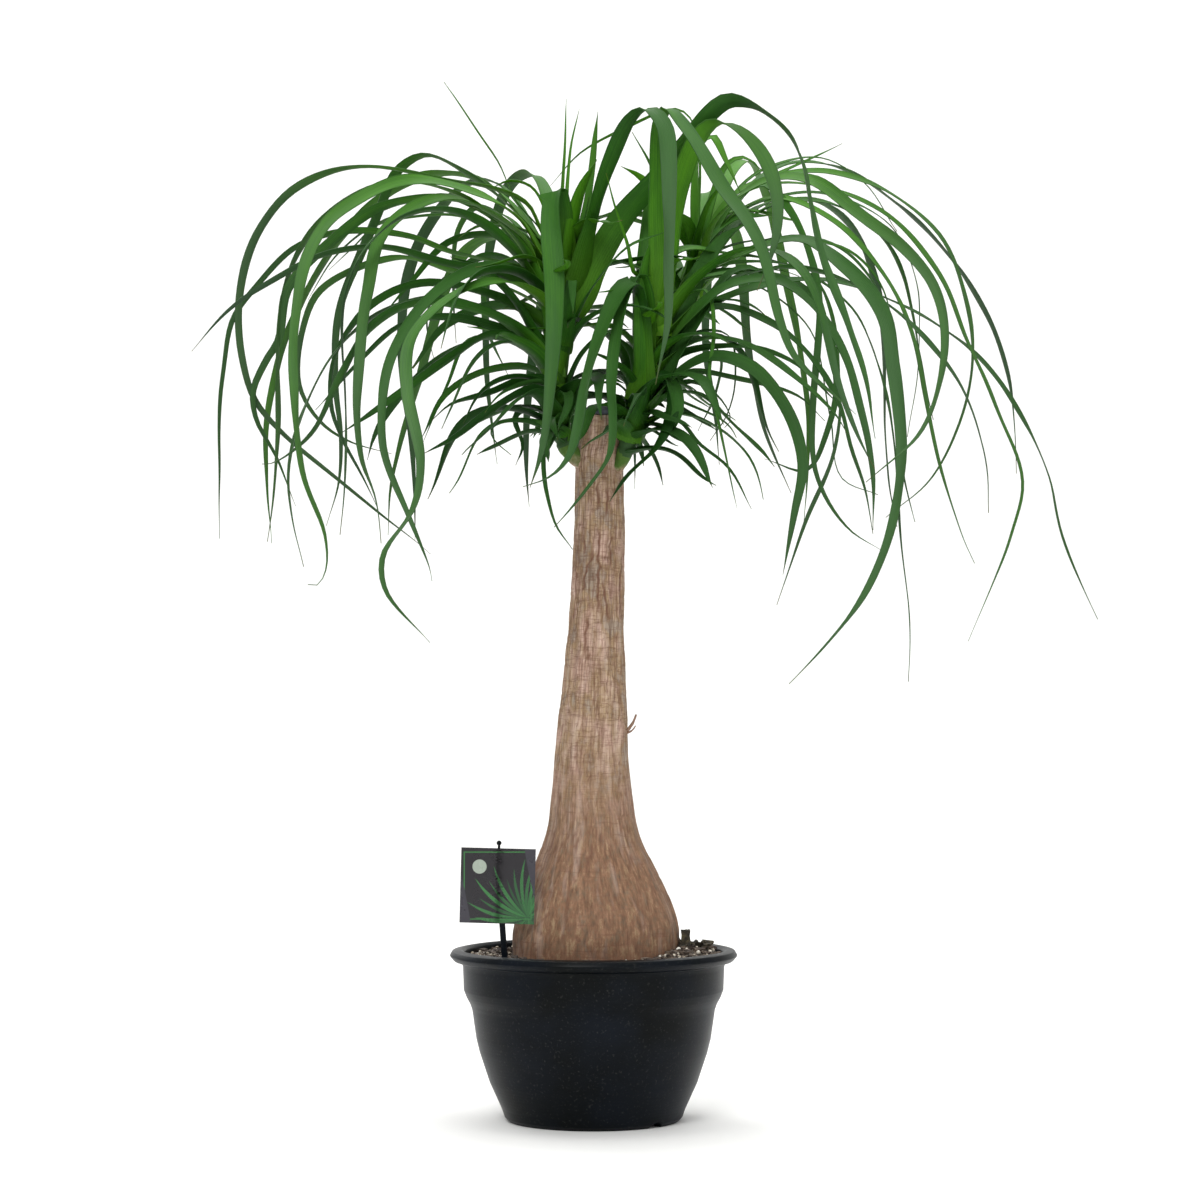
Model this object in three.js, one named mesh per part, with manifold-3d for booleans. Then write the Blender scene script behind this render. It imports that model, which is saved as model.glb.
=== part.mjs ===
// Potted ponytail palm: a black nursery pot filled with bark mix, a swollen-footed trunk
// sawn off and sealed, three leafy shoots below the cut, and a small card on a stake.
// Millimetres, +Z up, the origin under the middle of the pot's foot. The front is -Y.

import * as THREE from 'three';
import { mergeVertices } from 'three/addons/utils/BufferGeometryUtils.js';
import Module from 'manifold-3d';

const wasm = await Module();
wasm.setup();

// ---- driving dimensions --------------------------------------------------------------

const GAP = 0.35;                       // clearance between pieces that do not bear on each other
const RIM_RADIUS = 135;                 // outside of the rolled lip
const RIM_TOP = 160;                    // height of the rolled lip
const POT_SIDES = 32;
const FLOOR_TOP = 8;                    // inside floor of the pot
const FOOT_NOTCH = { radius: 9, sink: 3.5, bearings: [-45, 135] };
const DRAIN = { radius: 5.5, ring: 46, count: 6 };

const SOIL_TOP = 153;                   // average height of the potting mix
const SOIL_SIDES = 26;
const MOUND = { height: 9, bearing: -8, spread: 38 };
const CHIP_COUNT = 16;
const BARK_CHUNK = { x: 86, y: -9, wide: 9, deep: 10, from: 148, to: 178 };

const TRUNK_FOOT = 110;                 // bottom of the trunk in its hole
const TRUNK_BURIED = { x: 2.4, radius: 78, to: 168 };
const TRUNK_TOP = 660;
const TRUNK_SIDES = 26;
// height, middle x, radius
const TRUNK_FORM = [
  [186, 2.8, 76], [205, 2, 70], [224, 1, 61.6], [243, 0, 53], [261, -1, 45.7],
  [280, -1, 41], [299, -1.4, 38.6], [337, -1.4, 34.8], [375, 0, 32.5], [412, 1, 29.6],
  [450, 1.9, 26.8], [487, 3.3, 25.4], [525, 4.2, 24.5], [562, 5.5, 23.4],
  [600, 5.7, 22.8], [620, 5.5, 22.5], [640, 8, 20.4], [655, 8.5, 19.2],
];
const TWIG = { from: [24, -6, 357], to: [40, -8, 379], radius: 1.6 };
const WAX = { x: 7.5, radius: 17.5, height: 12 };

const CARD = { side: 68.7, thick: 0.8, x: -88.3, y: -56, z: 222.5, roll: 1.5 };
const STAKE = { foot: [-78.6, 100], head: [-87.1, 257], wide: 5.5, tip: 2.2, thick: 3, knob: 2.3 };

// the middle line of each shoot (x, y, z), its radius at the foot and at the tip
const SHOOTS = {
  left: { line: [[-25, -9, 631], [-30, -10, 645], [-33, -11, 662], [-34, -12, 700], [-31, -12, 750], [-28, -12, 798]],
    stub: [[-6, -4, 611], [-17, -7, 621]], radius: [9.2, 4.5] },
  right: { line: [[28, -15, 622], [34, -18, 641], [41, -19, 662], [52, -20, 700], [58, -20, 740], [62, -20, 782]],
    stub: [[15, -8, 603], [23, -12, 612]], radius: [7.8, 4.5] },
  back: { line: [[25, 23, 640], [31, 34, 664], [48, 44, 700], [72, 54, 745], [95, 60, 785], [106, 62, 815]],
    stub: [[10, 8, 618], [18, 16, 630]], radius: [9.5, 4.5] },
};

// the place the leaves below were sighted from, and its distance from the middle of the pot
const SIGHT = { x: 6, z: 415, far: 3000 };
const LEAF_THICK = 1.9;                 // depth of a blade's keel at its root

// Each leaf: shoot, width, depth (y) at even steps after the root, turn of the blade at
// root and tip in degrees, and the points it passes as sighted on the plane y = 0 (x, z).
const LEAVES = [
  // left shoot: long arches to the left
  ['left', 9, [20, 60], [25, 60], [-50, 838, -62, 860, -92, 875, -145, 885, -205, 896, -251, 890,
    -288, 872, -313, 841, -327, 806, -335, 763, -332, 717, -321, 678, -295, 646, -250, 608,
    -197, 565, -154, 530]],
  ['left', 10, [70, 170], [15, 60], [-53, 832, -78, 858, -120, 891, -158, 907, -185, 892, -202, 856,
    -222, 810, -241, 755, -243, 690, -238, 639, -240, 597, -252, 557]],
  ['left', 13, [-90, -210], [-60, 20], [-50, 800, -63, 826, -87, 847, -130, 867, -170, 858, -201, 830,
    -213, 780, -219, 733, -223, 660, -219, 620, -206, 585, -200, 540]],
  ['left', 12, [-80, -220, -320], [-60, 20], [-48, 815, -70, 848, -124, 876, -179, 883, -236, 858,
    -265, 822, -280, 770, -282, 690, -275, 612, -253, 548, -252, 516, -260, 501, -269, 501]],
  ['left', 4, [120, 220], [20, 40], [-70, 835, -103, 844, -147, 850, -209, 840, -243, 812, -270, 770]],
  ['left', 4, [90, 190], [20, 40], [-80, 832, -141, 853, -198, 846, -227, 819, -250, 798]],
  ['left', 11, [10, 40], [25, 65], [-50, 810, -85, 848, -120, 862, -154, 867, -209, 854, -255, 819,
    -288, 780, -297, 733, -310, 712, -321, 684, -318, 657, -297, 618, -280, 575]],
  ['left', 7, [50, 120], [30, 50], [-45, 790, -80, 803, -133, 815, -176, 831, -236, 835, -283, 819,
    -318, 783, -340, 751, -349, 700, -353, 640, -352, 545]],
  ['left', 9, [-50, -130], [35, 50], [-45, 770, -90, 795, -139, 806, -197, 820, -247, 815, -292, 795,
    -341, 763, -378, 721]],
  ['left', 8, [90, 200], [25, 60], [-45, 760, -85, 783, -139, 800, -181, 810, -228, 798, -261, 777,
    -274, 745, -277, 690, -257, 655, -230, 636, -190, 625]],
  ['left', 9, [-30, -70], [40, 60], [-42, 745, -95, 775, -160, 786, -210, 765, -243, 720, -247, 670,
    -237, 640, -219, 606, -203, 573]],
  ['left', 12, [-80, -190], [40, 60], [-40, 700, -63, 737, -110, 763, -165, 768, -210, 745, -239, 699,
    -265, 645, -300, 617, -312, 615]],
  ['left', 10, [-20, -40], [35, 50], [-40, 690, -60, 728, -100, 747, -147, 754, -184, 745, -225, 707,
    -262, 666]],
  ['left', 10, [-120, -280], [-60, 20], [-45, 785, -75, 800, -110, 800, -137, 786, -168, 757, -187, 725,
    -198, 680, -199, 632, -177, 572, -156, 520, -153, 505]],
  ['left', 12, [-140, -280, -350], [-20, 20], [-45, 770, -80, 788, -115, 783, -155, 757, -173, 730,
    -176, 683, -162, 615, -171, 569, -198, 527, -196, 495, -154, 447]],
  ['left', 12, [-40, -80], [55, 60], [-40, 705, -55, 725, -95, 738, -137, 715, -182, 682, -240, 643]],
  ['left', 13, [50, 100], [60, 60], [-42, 735, -58, 760, -100, 764, -140, 745, -171, 706]],
  ['left', 10, [80, 150], [40, 50], [-50, 775, -75, 805, -101, 812, -137, 791, -163, 770]],
  ['left', 9, [30, 60], [40, 50], [-45, 790, -60, 818, -100, 832, -137, 824, -172, 788, -199, 757]],
  ['left', 7, [150, 260], [30, 40], [-50, 810, -80, 847, -112, 858, -128, 835, -132, 780, -130, 730]],
  ['left', 8, [130, 230], [30, 50], [-45, 770, -75, 800, -98, 798, -103, 766, -99, 736, -80, 696]],
  ['left', 5, [170, 300], [30, 40], [-45, 760, -100, 800, -140, 790, -158, 755, -149, 710]],
  ['left', 5, [80, 150], [30, 60], [-45, 710, -90, 735, -120, 730, -138, 691, -161, 635]],
  ['left', 9, [20, 60], [45, 60], [-38, 690, -60, 706, -105, 703, -140, 680, -163, 638]],
  ['left', 10, [-20, -30], [50, 20], [-38, 690, -60, 697, -100, 682, -135, 671, -152, 656]],
  ['left', 12, [-40, -60], [55, 60], [-38, 672, -55, 686, -97, 667, -130, 641, -160, 624]],
  ['left', 6, [-30, -40], [40, 60], [-38, 648, -60, 655, -85, 655, -97, 648, -94, 638, -78, 624]],
  ['left', 7, [10, 20], [50, 60], [-38, 660, -60, 669, -74, 660, -66, 632, -73, 614]],
  ['left', 5, [-60, -80], [30, 40], [-42, 650, -46, 640, -47, 610, -44, 585, -36, 557, -20, 535]],
  ['left', 7, [-5, 20], [60, 40], [-40, 820, -46, 855, -60, 878, -80, 883, -97, 875]],
  ['left', 4, [20, 30], [30, 30], [-50, 835, -74, 865, -90, 900, -109, 930, -142, 977]],
  // left shoot: upright and forward leaves
  ['left', 12, [-15, -18], [75, 90], [-20, 800, -9, 845, -3, 885, 4, 948]],
  ['left', 18, [-40, -52], [20, 10], [-25, 800, -21, 840, -12, 875, 3, 903]],
  ['left', 4, [10, 30], [30, 30], [-30, 840, -29, 882, -27, 920, -26, 960]],
  ['left', 4, [5, 16], [30, 30], [-28, 840, -25, 884, -21, 918, -14, 950]],
  ['left', 20, [-64, -84, -110, -130], [0, 10], [-32, 820, -34, 858, -38, 875, -41, 858, -37, 766,
    -40, 692, -44, 655, -51, 622, -60, 592]],
  ['left', 17, [-70, -130, -190, -230], [10, 20], [-16, 790, -6, 830, 13, 895, 35, 942, 50, 952,
    66, 938, 71, 900, 71, 815, 69, 745, 58, 690]],
  ['left', 18, [-36, -84, -150, -210], [-60, 20], [-12, 775, 0, 802, 27, 848, 57, 882, 86, 916,
    110, 947, 127, 959, 147, 956, 171, 941, 189, 921, 199, 897, 205, 861, 216, 810, 240, 745,
    258, 690, 265, 640]],
  ['left', 15, [-50, -76, -84], [0, 0], [-26, 745, -23, 772, -21, 790, -21, 782, -20, 757]],
  ['left', 9, [-60, -110], [40, 30], [-18, 750, 0, 785, 33, 820, 65, 834]],
  ['left', 14, [-30, -36], [40, 50], [-26, 690, -12, 718, 12, 739, 36, 742]],
  ['left', 13, [-24, -30], [45, 45], [-24, 660, -10, 686, 10, 697, 30, 690]],
  ['left', 13, [-30, -30], [40, 50], [-36, 700, -44, 760, -60, 812, -84, 842, -116, 858]],
  ['left', 14, [-26, -34], [55, 60], [-38, 690, -54, 735, -78, 774, -104, 799, -136, 810]],
  ['left', 15, [0, 10], [50, 60], [-36, 720, -48, 775, -70, 825, -100, 852, -140, 868]],
  ['left', 18, [-28, -30], [10, 0], [-28, 720, -22, 770, -14, 820, -4, 868]],
  // right shoot: forward and downward
  ['right', 20, [-50, -90, -130, -165], [-20, 20], [47, 715, 44, 765, 38, 788, 27, 783, 15, 760,
    -4, 707, -14, 655, -25, 620, -42, 602, -66, 593]],
  ['right', 13, [-50, -90, -130, -150], [-20, 20], [52, 730, 50, 775, 42, 794, 30, 776, 20, 730,
    17, 692, 18, 655, 14, 622, -2, 597, -37, 555]],
  ['right', 20, [-32, -60, -110, -150], [-60, 60], [58, 760, 68, 810, 74, 850, 84, 889, 100, 925,
    116, 939, 132, 935, 151, 919, 167, 893, 174, 865, 173, 837, 167, 810, 155, 778]],
  ['right', 24, [-24, -10, 4], [60, 50], [64, 708, 80, 755, 101, 798, 124, 830, 146, 843]],
  ['right', 19, [-40, -50, -44], [-20, 20], [48, 700, 46, 735, 45, 770, 49, 805, 58, 835]],
  ['right', 16, [-36, -42, -40], [60, 60], [68, 702, 88, 736, 108, 768, 130, 797, 152, 800,
    166, 785]],
  ['right', 14, [-10, 5], [20, 30], [54, 712, 48, 752, 46, 800, 50, 850, 56, 896]],
  ['right', 20, [-44, -52, -44], [-20, 60], [44, 664, 54, 692, 70, 697, 79, 668, 63, 632]],
  ['right', 16, [-14, -24], [35, 30], [42, 662, 42, 692, 36, 720, 20, 737]],
  ['right', 12, [2, 12], [40, 40], [36, 648, 35, 676, 24, 690, 2, 692]],
  ['right', 15, [-80, -180, -230], [-20, 60], [58, 770, 62, 800, 60, 880, 62, 938, 70, 952, 84, 938,
    120, 881, 158, 822, 176, 750, 193, 712, 247, 662]],
  ['right', 4, [-60, -95], [30, 40], [60, 790, 40, 794, 32, 825, 18, 867, 12, 890]],
  ['right', 10, [40, 125, 160], [25, 50], [70, 735, 95, 757, 120, 771, 175, 788, 233, 787, 300, 761,
    362, 717, 402, 663, 428, 605, 441, 545, 475, 468]],
  ['right', 12, [-90, -180], [55, 20], [72, 735, 100, 765, 130, 785, 175, 789, 208, 764, 239, 712,
    252, 665, 262, 610, 263, 553]],
  ['right', 9, [-10, 20], [50, 50], [70, 730, 100, 758, 125, 764, 175, 745, 212, 707, 231, 672,
    242, 630, 255, 590, 263, 550]],
  ['right', 14, [-90, -150], [30, 60], [60, 680, 75, 698, 110, 718, 150, 706, 182, 667, 197, 615,
    189, 570, 178, 510]],
  ['right', 9, [10, 60], [50, 50], [60, 700, 85, 720, 139, 727, 185, 713, 232, 672]],
  ['right', 8, [50, 120], [50, 50], [55, 678, 70, 690, 95, 702, 140, 695, 192, 680, 218, 655]],
  ['right', 8, [20, 60], [50, 50], [52, 668, 70, 685, 92, 693, 118, 678, 129, 657, 123, 650]],
  ['right', 6, [90, 190], [40, 50], [60, 700, 95, 735, 118, 720, 115, 682, 98, 646]],
  ['right', 4, [50, 110], [40, 50], [62, 710, 100, 740, 128, 735, 133, 694, 125, 661, 109, 637]],
  ['right', 5, [-30, -40], [40, 50], [48, 650, 65, 662, 82, 655, 99, 635, 127, 612, 149, 572]],
  ['right', 4, [-60, -100], [40, 50], [70, 760, 105, 780, 113, 740, 109, 700, 118, 655, 131, 591,
    135, 573]],
  ['right', 14, [-50, -70], [-20, 20], [52, 690, 66, 699, 76, 685, 71, 655, 58, 630, 32, 605, 15, 580]],
  ['right', 9, [-30, -20], [30, 40], [60, 775, 63, 805, 60, 850, 57, 888, 35, 929]],
  // back shoot: arches to the right
  ['back', 22, [40, 24], [15, 30], [92, 800, 98, 830, 108, 862, 124, 884]],
  ['back', 20, [44, 34], [40, 40], [96, 806, 114, 832, 136, 848, 166, 850]],
  ['back', 15, [50, 30, 20], [60, 50], [97, 805, 92, 825, 75, 845, 60, 868, 45, 886, 25, 896]],
  ['back', 13, [60, 40], [60, 60], [100, 815, 96, 850, 100, 915, 112, 925, 126, 900, 138, 872]],
  ['back', 9, [70, 90], [40, 40], [100, 815, 110, 860, 126, 900, 142, 905, 160, 890]],
  ['back', 12, [30, 0], [60, 50], [95, 820, 87, 844, 74, 848, 50, 857, 34, 862]],
  ['back', 5, [80, 100, 110], [30, 30], [100, 840, 95, 935, 80, 950, 35, 935, -10, 911, -40, 878]],
  ['back', 5, [90, 120], [40, 40], [108, 825, 130, 860, 160, 883, 188, 896, 235, 918]],
  ['back', 4, [110, 160], [40, 40], [110, 830, 140, 880, 170, 898, 217, 904, 257, 880, 286, 835]],
  ['back', 12, [-60, -170, -240], [40, 60], [102, 810, 115, 845, 160, 883, 205, 884, 250, 852,
    291, 820, 320, 786, 331, 745, 327, 694, 308, 645, 256, 598]],
  ['back', 8, [70, 80], [35, 40], [105, 820, 120, 855, 145, 878, 215, 892, 272, 875, 326, 832,
    350, 775, 357, 720, 345, 655, 315, 598, 275, 565]],
  ['back', 6, [60, 40], [30, 50], [100, 812, 125, 858, 165, 880, 222, 876, 277, 851, 324, 798,
    352, 733, 378, 673, 403, 600, 393, 549, 352, 448]],
  ['back', 14, [-70, -200, -300], [20, 60], [95, 795, 118, 805, 140, 815, 195, 828, 240, 800, 272, 758,
    283, 705, 290, 640, 286, 583, 270, 525, 243, 475, 184, 408]],
  ['back', 8, [130, 200], [35, 50], [100, 795, 130, 812, 190, 800, 240, 765, 265, 720, 282, 640,
    288, 550, 298, 450, 296, 410]],
  ['back', 7, [20, -40], [35, 30], [102, 808, 122, 842, 150, 862, 180, 867, 233, 841, 275, 793,
    302, 732, 320, 643, 345, 550, 358, 521]],
  ['back', 5, [100, 120], [35, 40], [104, 806, 130, 822, 179, 827, 237, 819, 270, 786, 284, 740]],
  ['back', 4, [160, 250], [35, 40], [106, 820, 150, 860, 220, 870, 280, 840, 305, 783, 305, 701,
    295, 641]],
  ['back', 9, [20, 10], [30, 60], [108, 820, 130, 860, 160, 880, 185, 855, 203, 815, 213, 765,
    207, 675, 209, 607, 240, 554, 273, 532]],
  ['back', 10, [40, 60], [30, 60], [98, 790, 150, 796, 200, 780, 228, 700, 219, 642, 200, 609,
    161, 620]],
  ['back', 9, [60, 110], [30, 60], [98, 795, 160, 806, 210, 790, 232, 690, 226, 625, 200, 564,
    172, 482]],
  ['back', 5, [70, 140], [40, 40], [98, 790, 150, 785, 205, 740, 222, 660, 232, 603, 268, 586]],
];

// Arching leaves round the shoots: shoot, bearing, bend of the bearing, height of the
// root, length, rise at the root, width. Bearings in degrees from +X towards the back (+Y).
const ARCHES = [
  ['left', 174, -6, 760, 610, 60, 12], ['left', 152, -8, 770, 660, 66, 12],
  ['left', 130, -6, 765, 640, 64, 13], ['left', 118, 8, 745, 560, 56, 12],
  ['left', 106, -6, 775, 560, 66, 12], ['left', 92, 6, 740, 430, 50, 13],
  ['left', 196, 8, 700, 470, 48, 11], ['left', 208, 0, 745, 520, 58, 11],
  ['back', 86, 6, 800, 500, 62, 12], ['back', 73, -6, 770, 520, 54, 13],
  ['back', 60, 8, 805, 640, 66, 12], ['back', 48, -6, 775, 600, 56, 12],
  ['back', 36, 6, 795, 660, 62, 12], ['back', 24, -8, 760, 500, 50, 13],
  ['back', 100, 0, 770, 440, 52, 12], ['back', 14, 6, 790, 430, 58, 11],
  ['right', -12, 6, 720, 480, 50, 12], ['right', -38, -8, 735, 420, 50, 12],
  ['left', -150, 10, 690, 190, 50, 15], ['left', -120, -8, 655, 165, 38, 16],
  ['left', -60, -8, 668, 155, 45, 15],
  ['left', -165, 6, 646, 150, 20, 14], ['left', -100, 0, 642, 110, 15, 14],
  ['left', 178, 0, 650, 180, 30, 14],
  ['right', -60, 8, 668, 165, 45, 16], ['right', -18, -8, 658, 175, 40, 16],
  ['right', -40, 0, 640, 130, 18, 14],
  ['right', 12, 6, 648, 175, 30, 14], ['right', -135, 8, 650, 120, 38, 14],
  ['left', -138, 8, 742, 235, 62, 15], ['left', 166, -6, 694, 260, 48, 14],
  ['right', 34, -8, 700, 220, 50, 14],
  ['right', -8, 6, 690, 240, 52, 14], ['right', 120, 6, 676, 170, 44, 14],
  ['back', 176, 10, 658, 104, 34, 16], ['back', 196, -8, 674, 106, 28, 20],
  ['back', 164, 8, 664, 112, 50, 15], ['back', 182, 6, 694, 118, 34, 21],
];

const COLOUR = {
  pot: ['#1b1f22', 0.45], soil: ['#6e5c46', 0.95], trunk: ['#8f7259', 0.9],
  wax_seal: ['#2c3238', 0.3], head_left: ['#4c7a34', 0.5], head_right: ['#4f7d38', 0.5],
  head_back: ['#46733a', 0.5], label_card: ['#2d2a30', 0.4], label_stake: ['#1d2226', 0.45],
};

// ---- small helpers ---------------------------------------------------------------------

const rad = (degrees) => degrees * Math.PI / 180;
const lerp = (a, b, t) => a + (b - a) * t;
const vec = (p) => new THREE.Vector3(p[0], p[1], p[2]);

/** Seeded generator of numbers from 0 to 1. */
function randomFrom(seed) {
  let state = seed;
  return () => {
    state = (state * 1103515245 + 12345) % 2147483648;
    return state / 2147483648;
  };
}

function solid(geometry) {
  const bare = geometry.clone();
  bare.deleteAttribute('normal');
  bare.deleteAttribute('uv');
  const merged = mergeVertices(bare, 1e-4);
  return new wasm.Manifold(new wasm.Mesh({
    numProp: 3,
    vertProperties: new Float32Array(merged.attributes.position.array),
    triVerts: new Uint32Array(merged.index.array),
  }));
}

function geometryOf(manifold) {
  const mesh = manifold.getMesh();
  const geometry = new THREE.BufferGeometry();
  geometry.setAttribute('position', new THREE.BufferAttribute(new Float32Array(mesh.vertProperties), 3));
  geometry.setIndex(new THREE.BufferAttribute(new Uint32Array(mesh.triVerts), 1));
  geometry.computeVertexNormals();
  return geometry;
}

function meshNamed(name, manifold) {
  const [colour, roughness] = COLOUR[name];
  const material = new THREE.MeshStandardMaterial({ color: colour, roughness, metalness: 0 });
  const mesh = new THREE.Mesh(geometryOf(manifold), material);
  mesh.name = name;
  return mesh;
}

/** Solid of revolution about +Z from (radius, height) pairs that start and end on the axis. */
function turned(profile, sides) {
  const geometry = new THREE.LatheGeometry(profile.map(([r, z]) => new THREE.Vector2(r, z)), sides);
  geometry.rotateX(Math.PI / 2);
  return outward(geometry);
}

/** Turn a closed geometry's faces outwards. */
function outward(geometry) {
  const made = mergeVertices(stripped(geometry), 1e-4);
  const p = made.attributes.position;
  const index = made.index.array;
  const a = new THREE.Vector3();
  const b = new THREE.Vector3();
  const c = new THREE.Vector3();
  let volume = 0;
  for (let i = 0; i < index.length; i += 3) {
    a.fromBufferAttribute(p, index[i]);
    b.fromBufferAttribute(p, index[i + 1]);
    c.fromBufferAttribute(p, index[i + 2]);
    volume += a.dot(b.cross(c));
  }
  if (volume < 0) {
    for (let i = 0; i < index.length; i += 3) {
      [index[i], index[i + 1]] = [index[i + 1], index[i]];
    }
  }
  return made;
}

function stripped(geometry) {
  geometry.deleteAttribute('normal');
  geometry.deleteAttribute('uv');
  return geometry;
}

/** Closed skin over rings of points, each patch split where it bulges out, and a fan over each end. */
function skinned(rings) {
  const sides = rings[0].length;
  const corners = rings.flat();
  const points = corners.flatMap((p) => [p.x, p.y, p.z]);
  const middles = rings.map((ring) => (
    ring.reduce((sum, p) => sum.add(p), new THREE.Vector3()).divideScalar(sides)));
  const faces = [];
  for (let i = 0; i + 1 < rings.length; i += 1) {
    const middle = middles[i].clone().lerp(middles[i + 1], 0.5);
    const reach = (a, b) => corners[a].clone().lerp(corners[b], 0.5).distanceTo(middle);
    for (let j = 0; j < sides; j += 1) {
      const a = i * sides + j;
      const b = i * sides + (j + 1) % sides;
      if (reach(a, b + sides) >= reach(b, a + sides)) {
        faces.push(a, b, b + sides, a, b + sides, a + sides);
      } else {
        faces.push(a, b, a + sides, b, b + sides, a + sides);
      }
    }
  }
  const last = (rings.length - 1) * sides;
  for (let j = 1; j + 1 < sides; j += 1) {
    faces.push(0, j + 1, j, last, last + j, last + j + 1);
  }
  const geometry = new THREE.BufferGeometry();
  geometry.setAttribute('position', new THREE.BufferAttribute(new Float32Array(points), 3));
  geometry.setIndex(faces);
  return outward(geometry);
}

/** Round bar along a line of points, its ends cut level. */
function bar(line, radii, sides) {
  return skinned(line.map((p, i) => {
    const radius = lerp(radii[0], radii[1], i / (line.length - 1));
    return Array.from({ length: sides }, (_, j) => {
      const a = 2 * Math.PI * j / sides;
      return new THREE.Vector3(p[0] + radius * Math.cos(a), p[1] + radius * Math.sin(a), p[2]);
    });
  }));
}

// ---- pot, soil, trunk --------------------------------------------------------------------

function potSolid() {
  let pot = solid(turned([
    [0, 0], [22, 0], [24, 4], [70, 4], [72, 0], [80, 0], [83.4, 3.5], [86, 11], [97.4, 36],
    [106.8, 64], [110, 77], [113.8, 103.5], [115.7, 109], [119, 115], [121.8, 122], [122.5, 143],
    [123.5, 147.5], [131, 149.2], [RIM_RADIUS, 154], [132.4, 158.6], [125, RIM_TOP],
    [121, 157.4], [119.6, 123], [113.2, 110], [111.4, 103.5], [107.6, 77], [104.4, 64],
    [95, 36], [82.4, 11], [79, FLOOR_TOP], [0, FLOOR_TOP],
  ], POT_SIDES));
  for (const bearing of FOOT_NOTCH.bearings) {
    const notch = new THREE.CylinderGeometry(FOOT_NOTCH.radius, FOOT_NOTCH.radius, 40, 14);
    notch.rotateZ(Math.PI / 2);
    notch.translate(86, 0, -FOOT_NOTCH.sink);
    notch.rotateZ(rad(bearing));
    pot = pot.subtract(solid(notch));
  }
  for (let i = 0; i < DRAIN.count; i += 1) {
    const hole = new THREE.CylinderGeometry(DRAIN.radius, DRAIN.radius, 12, 8);
    hole.rotateX(Math.PI / 2);
    hole.translate(DRAIN.ring, 0, 6);
    hole.rotateZ(2 * Math.PI * (i + 0.5) / DRAIN.count);
    pot = pot.subtract(solid(hole));
  }
  return pot;
}

/** Height of the potting mix before its chips. */
function soilHeight(radius, angle, random) {
  let off = (angle * 180 / Math.PI - MOUND.bearing + 540) % 360 - 180;
  off /= MOUND.spread;
  const mound = MOUND.height * Math.exp(-off * off) * Math.min(1, (119 - radius) / 12);
  return SOIL_TOP + mound + (random() - 0.5) * 3.2;
}

function soilSolid() {
  const random = randomFrom(71);
  const wall = [[81.5, 11], [94, 36], [103.4, 64], [106.6, 77], [110.4, 103.5], [112.2, 110],
    [118.6, 123], [119.5, SOIL_TOP - 5]];
  const rings = [];
  const ring = (radius, height) => Array.from({ length: SOIL_SIDES }, (_, j) => {
    const a = 2 * Math.PI * j / SOIL_SIDES;
    return new THREE.Vector3(radius * Math.cos(a), radius * Math.sin(a), height(radius, a));
  });
  rings.push(ring(78, () => FLOOR_TOP));
  wall.forEach(([r, z]) => rings.push(ring(r, () => z)));
  [117, 109, 101, 93, 85].forEach((r) => rings.push(ring(r, (q, a) => soilHeight(q, a, random))));
  rings.push(ring(70, () => SOIL_TOP));
  let soil = solid(skinned(rings));
  for (let i = 0; i < CHIP_COUNT; i += 1) {
    const chip = new THREE.BoxGeometry(lerp(5, 12, random()), lerp(4, 7, random()), lerp(2.5, 4, random()));
    chip.rotateX(lerp(-0.4, 0.4, random()));
    chip.rotateY(lerp(-0.5, 0.5, random()));
    chip.rotateZ(Math.PI * random());
    const a = 2 * Math.PI * (i + 0.6 * random()) / CHIP_COUNT;
    const r = lerp(88, 110, random());
    chip.translate(r * Math.cos(a), r * Math.sin(a), soilHeight(r, a, () => 0.5) + 0.8);
    soil = soil.add(solid(chip));
  }
  const c = BARK_CHUNK;
  const chunk = skinned([[c.from, 1], [c.to - 5, 0.92], [c.to, 0.7]].map(([z, s]) => (
    [[-1, -1], [1, -0.8], [0.9, 1], [-1, 0.8]].map(([u, v]) => new THREE.Vector3(
      c.x - 0.5 * c.wide * (1 - s) + 0.5 * c.wide * s * u, c.y + 0.5 * c.deep * s * v, z)))));
  soil = soil.add(solid(chunk));
  const hole = new THREE.CylinderGeometry(TRUNK_BURIED.radius + 0.9, TRUNK_BURIED.radius + 0.9, 90, 45);
  hole.rotateX(Math.PI / 2);
  hole.translate(TRUNK_BURIED.x, 0, TRUNK_FOOT + 45);
  return soil.subtract(solid(hole)).subtract(stakeSolid(GAP, false));
}

/** The stem alone; `grown` all round it is the room the shoots leave beside it. */
function stemSolid(grown) {
  const random = randomFrom(29);
  const lobes = [3, 5, 8, 13].map((n, i) => ({ n, size: [0.012, 0.012, 0.01, 0.012][i],
    phase: 6.28 * random(), drift: (random() - 0.5) * 0.012 }));
  const ring = (x, radius, z, rough) => Array.from({ length: TRUNK_SIDES }, (_, j) => {
    const a = 2 * Math.PI * j / TRUNK_SIDES;
    let scale = 1;
    for (const lobe of lobes) {
      scale += rough * lobe.size * Math.sin(lobe.n * a + lobe.phase + lobe.drift * z);
    }
    scale += rough * 0.016 * (random() - 0.5);
    const r = radius * scale + grown;
    return new THREE.Vector3(x + r * Math.cos(a), r * Math.sin(a), z);
  });
  const { x, radius, to } = TRUNK_BURIED;
  const rings = [ring(x, radius, TRUNK_FOOT, 0), ring(x, radius, to - 8, 0), ring(x, radius, to, 0.4)];
  TRUNK_FORM.forEach(([z, mid, r]) => rings.push(ring(mid, r, z, 1)));
  rings.push(ring(8.5, 18.6, TRUNK_TOP + 3 * grown, 0.6));
  return solid(skinned(rings));
}

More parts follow.
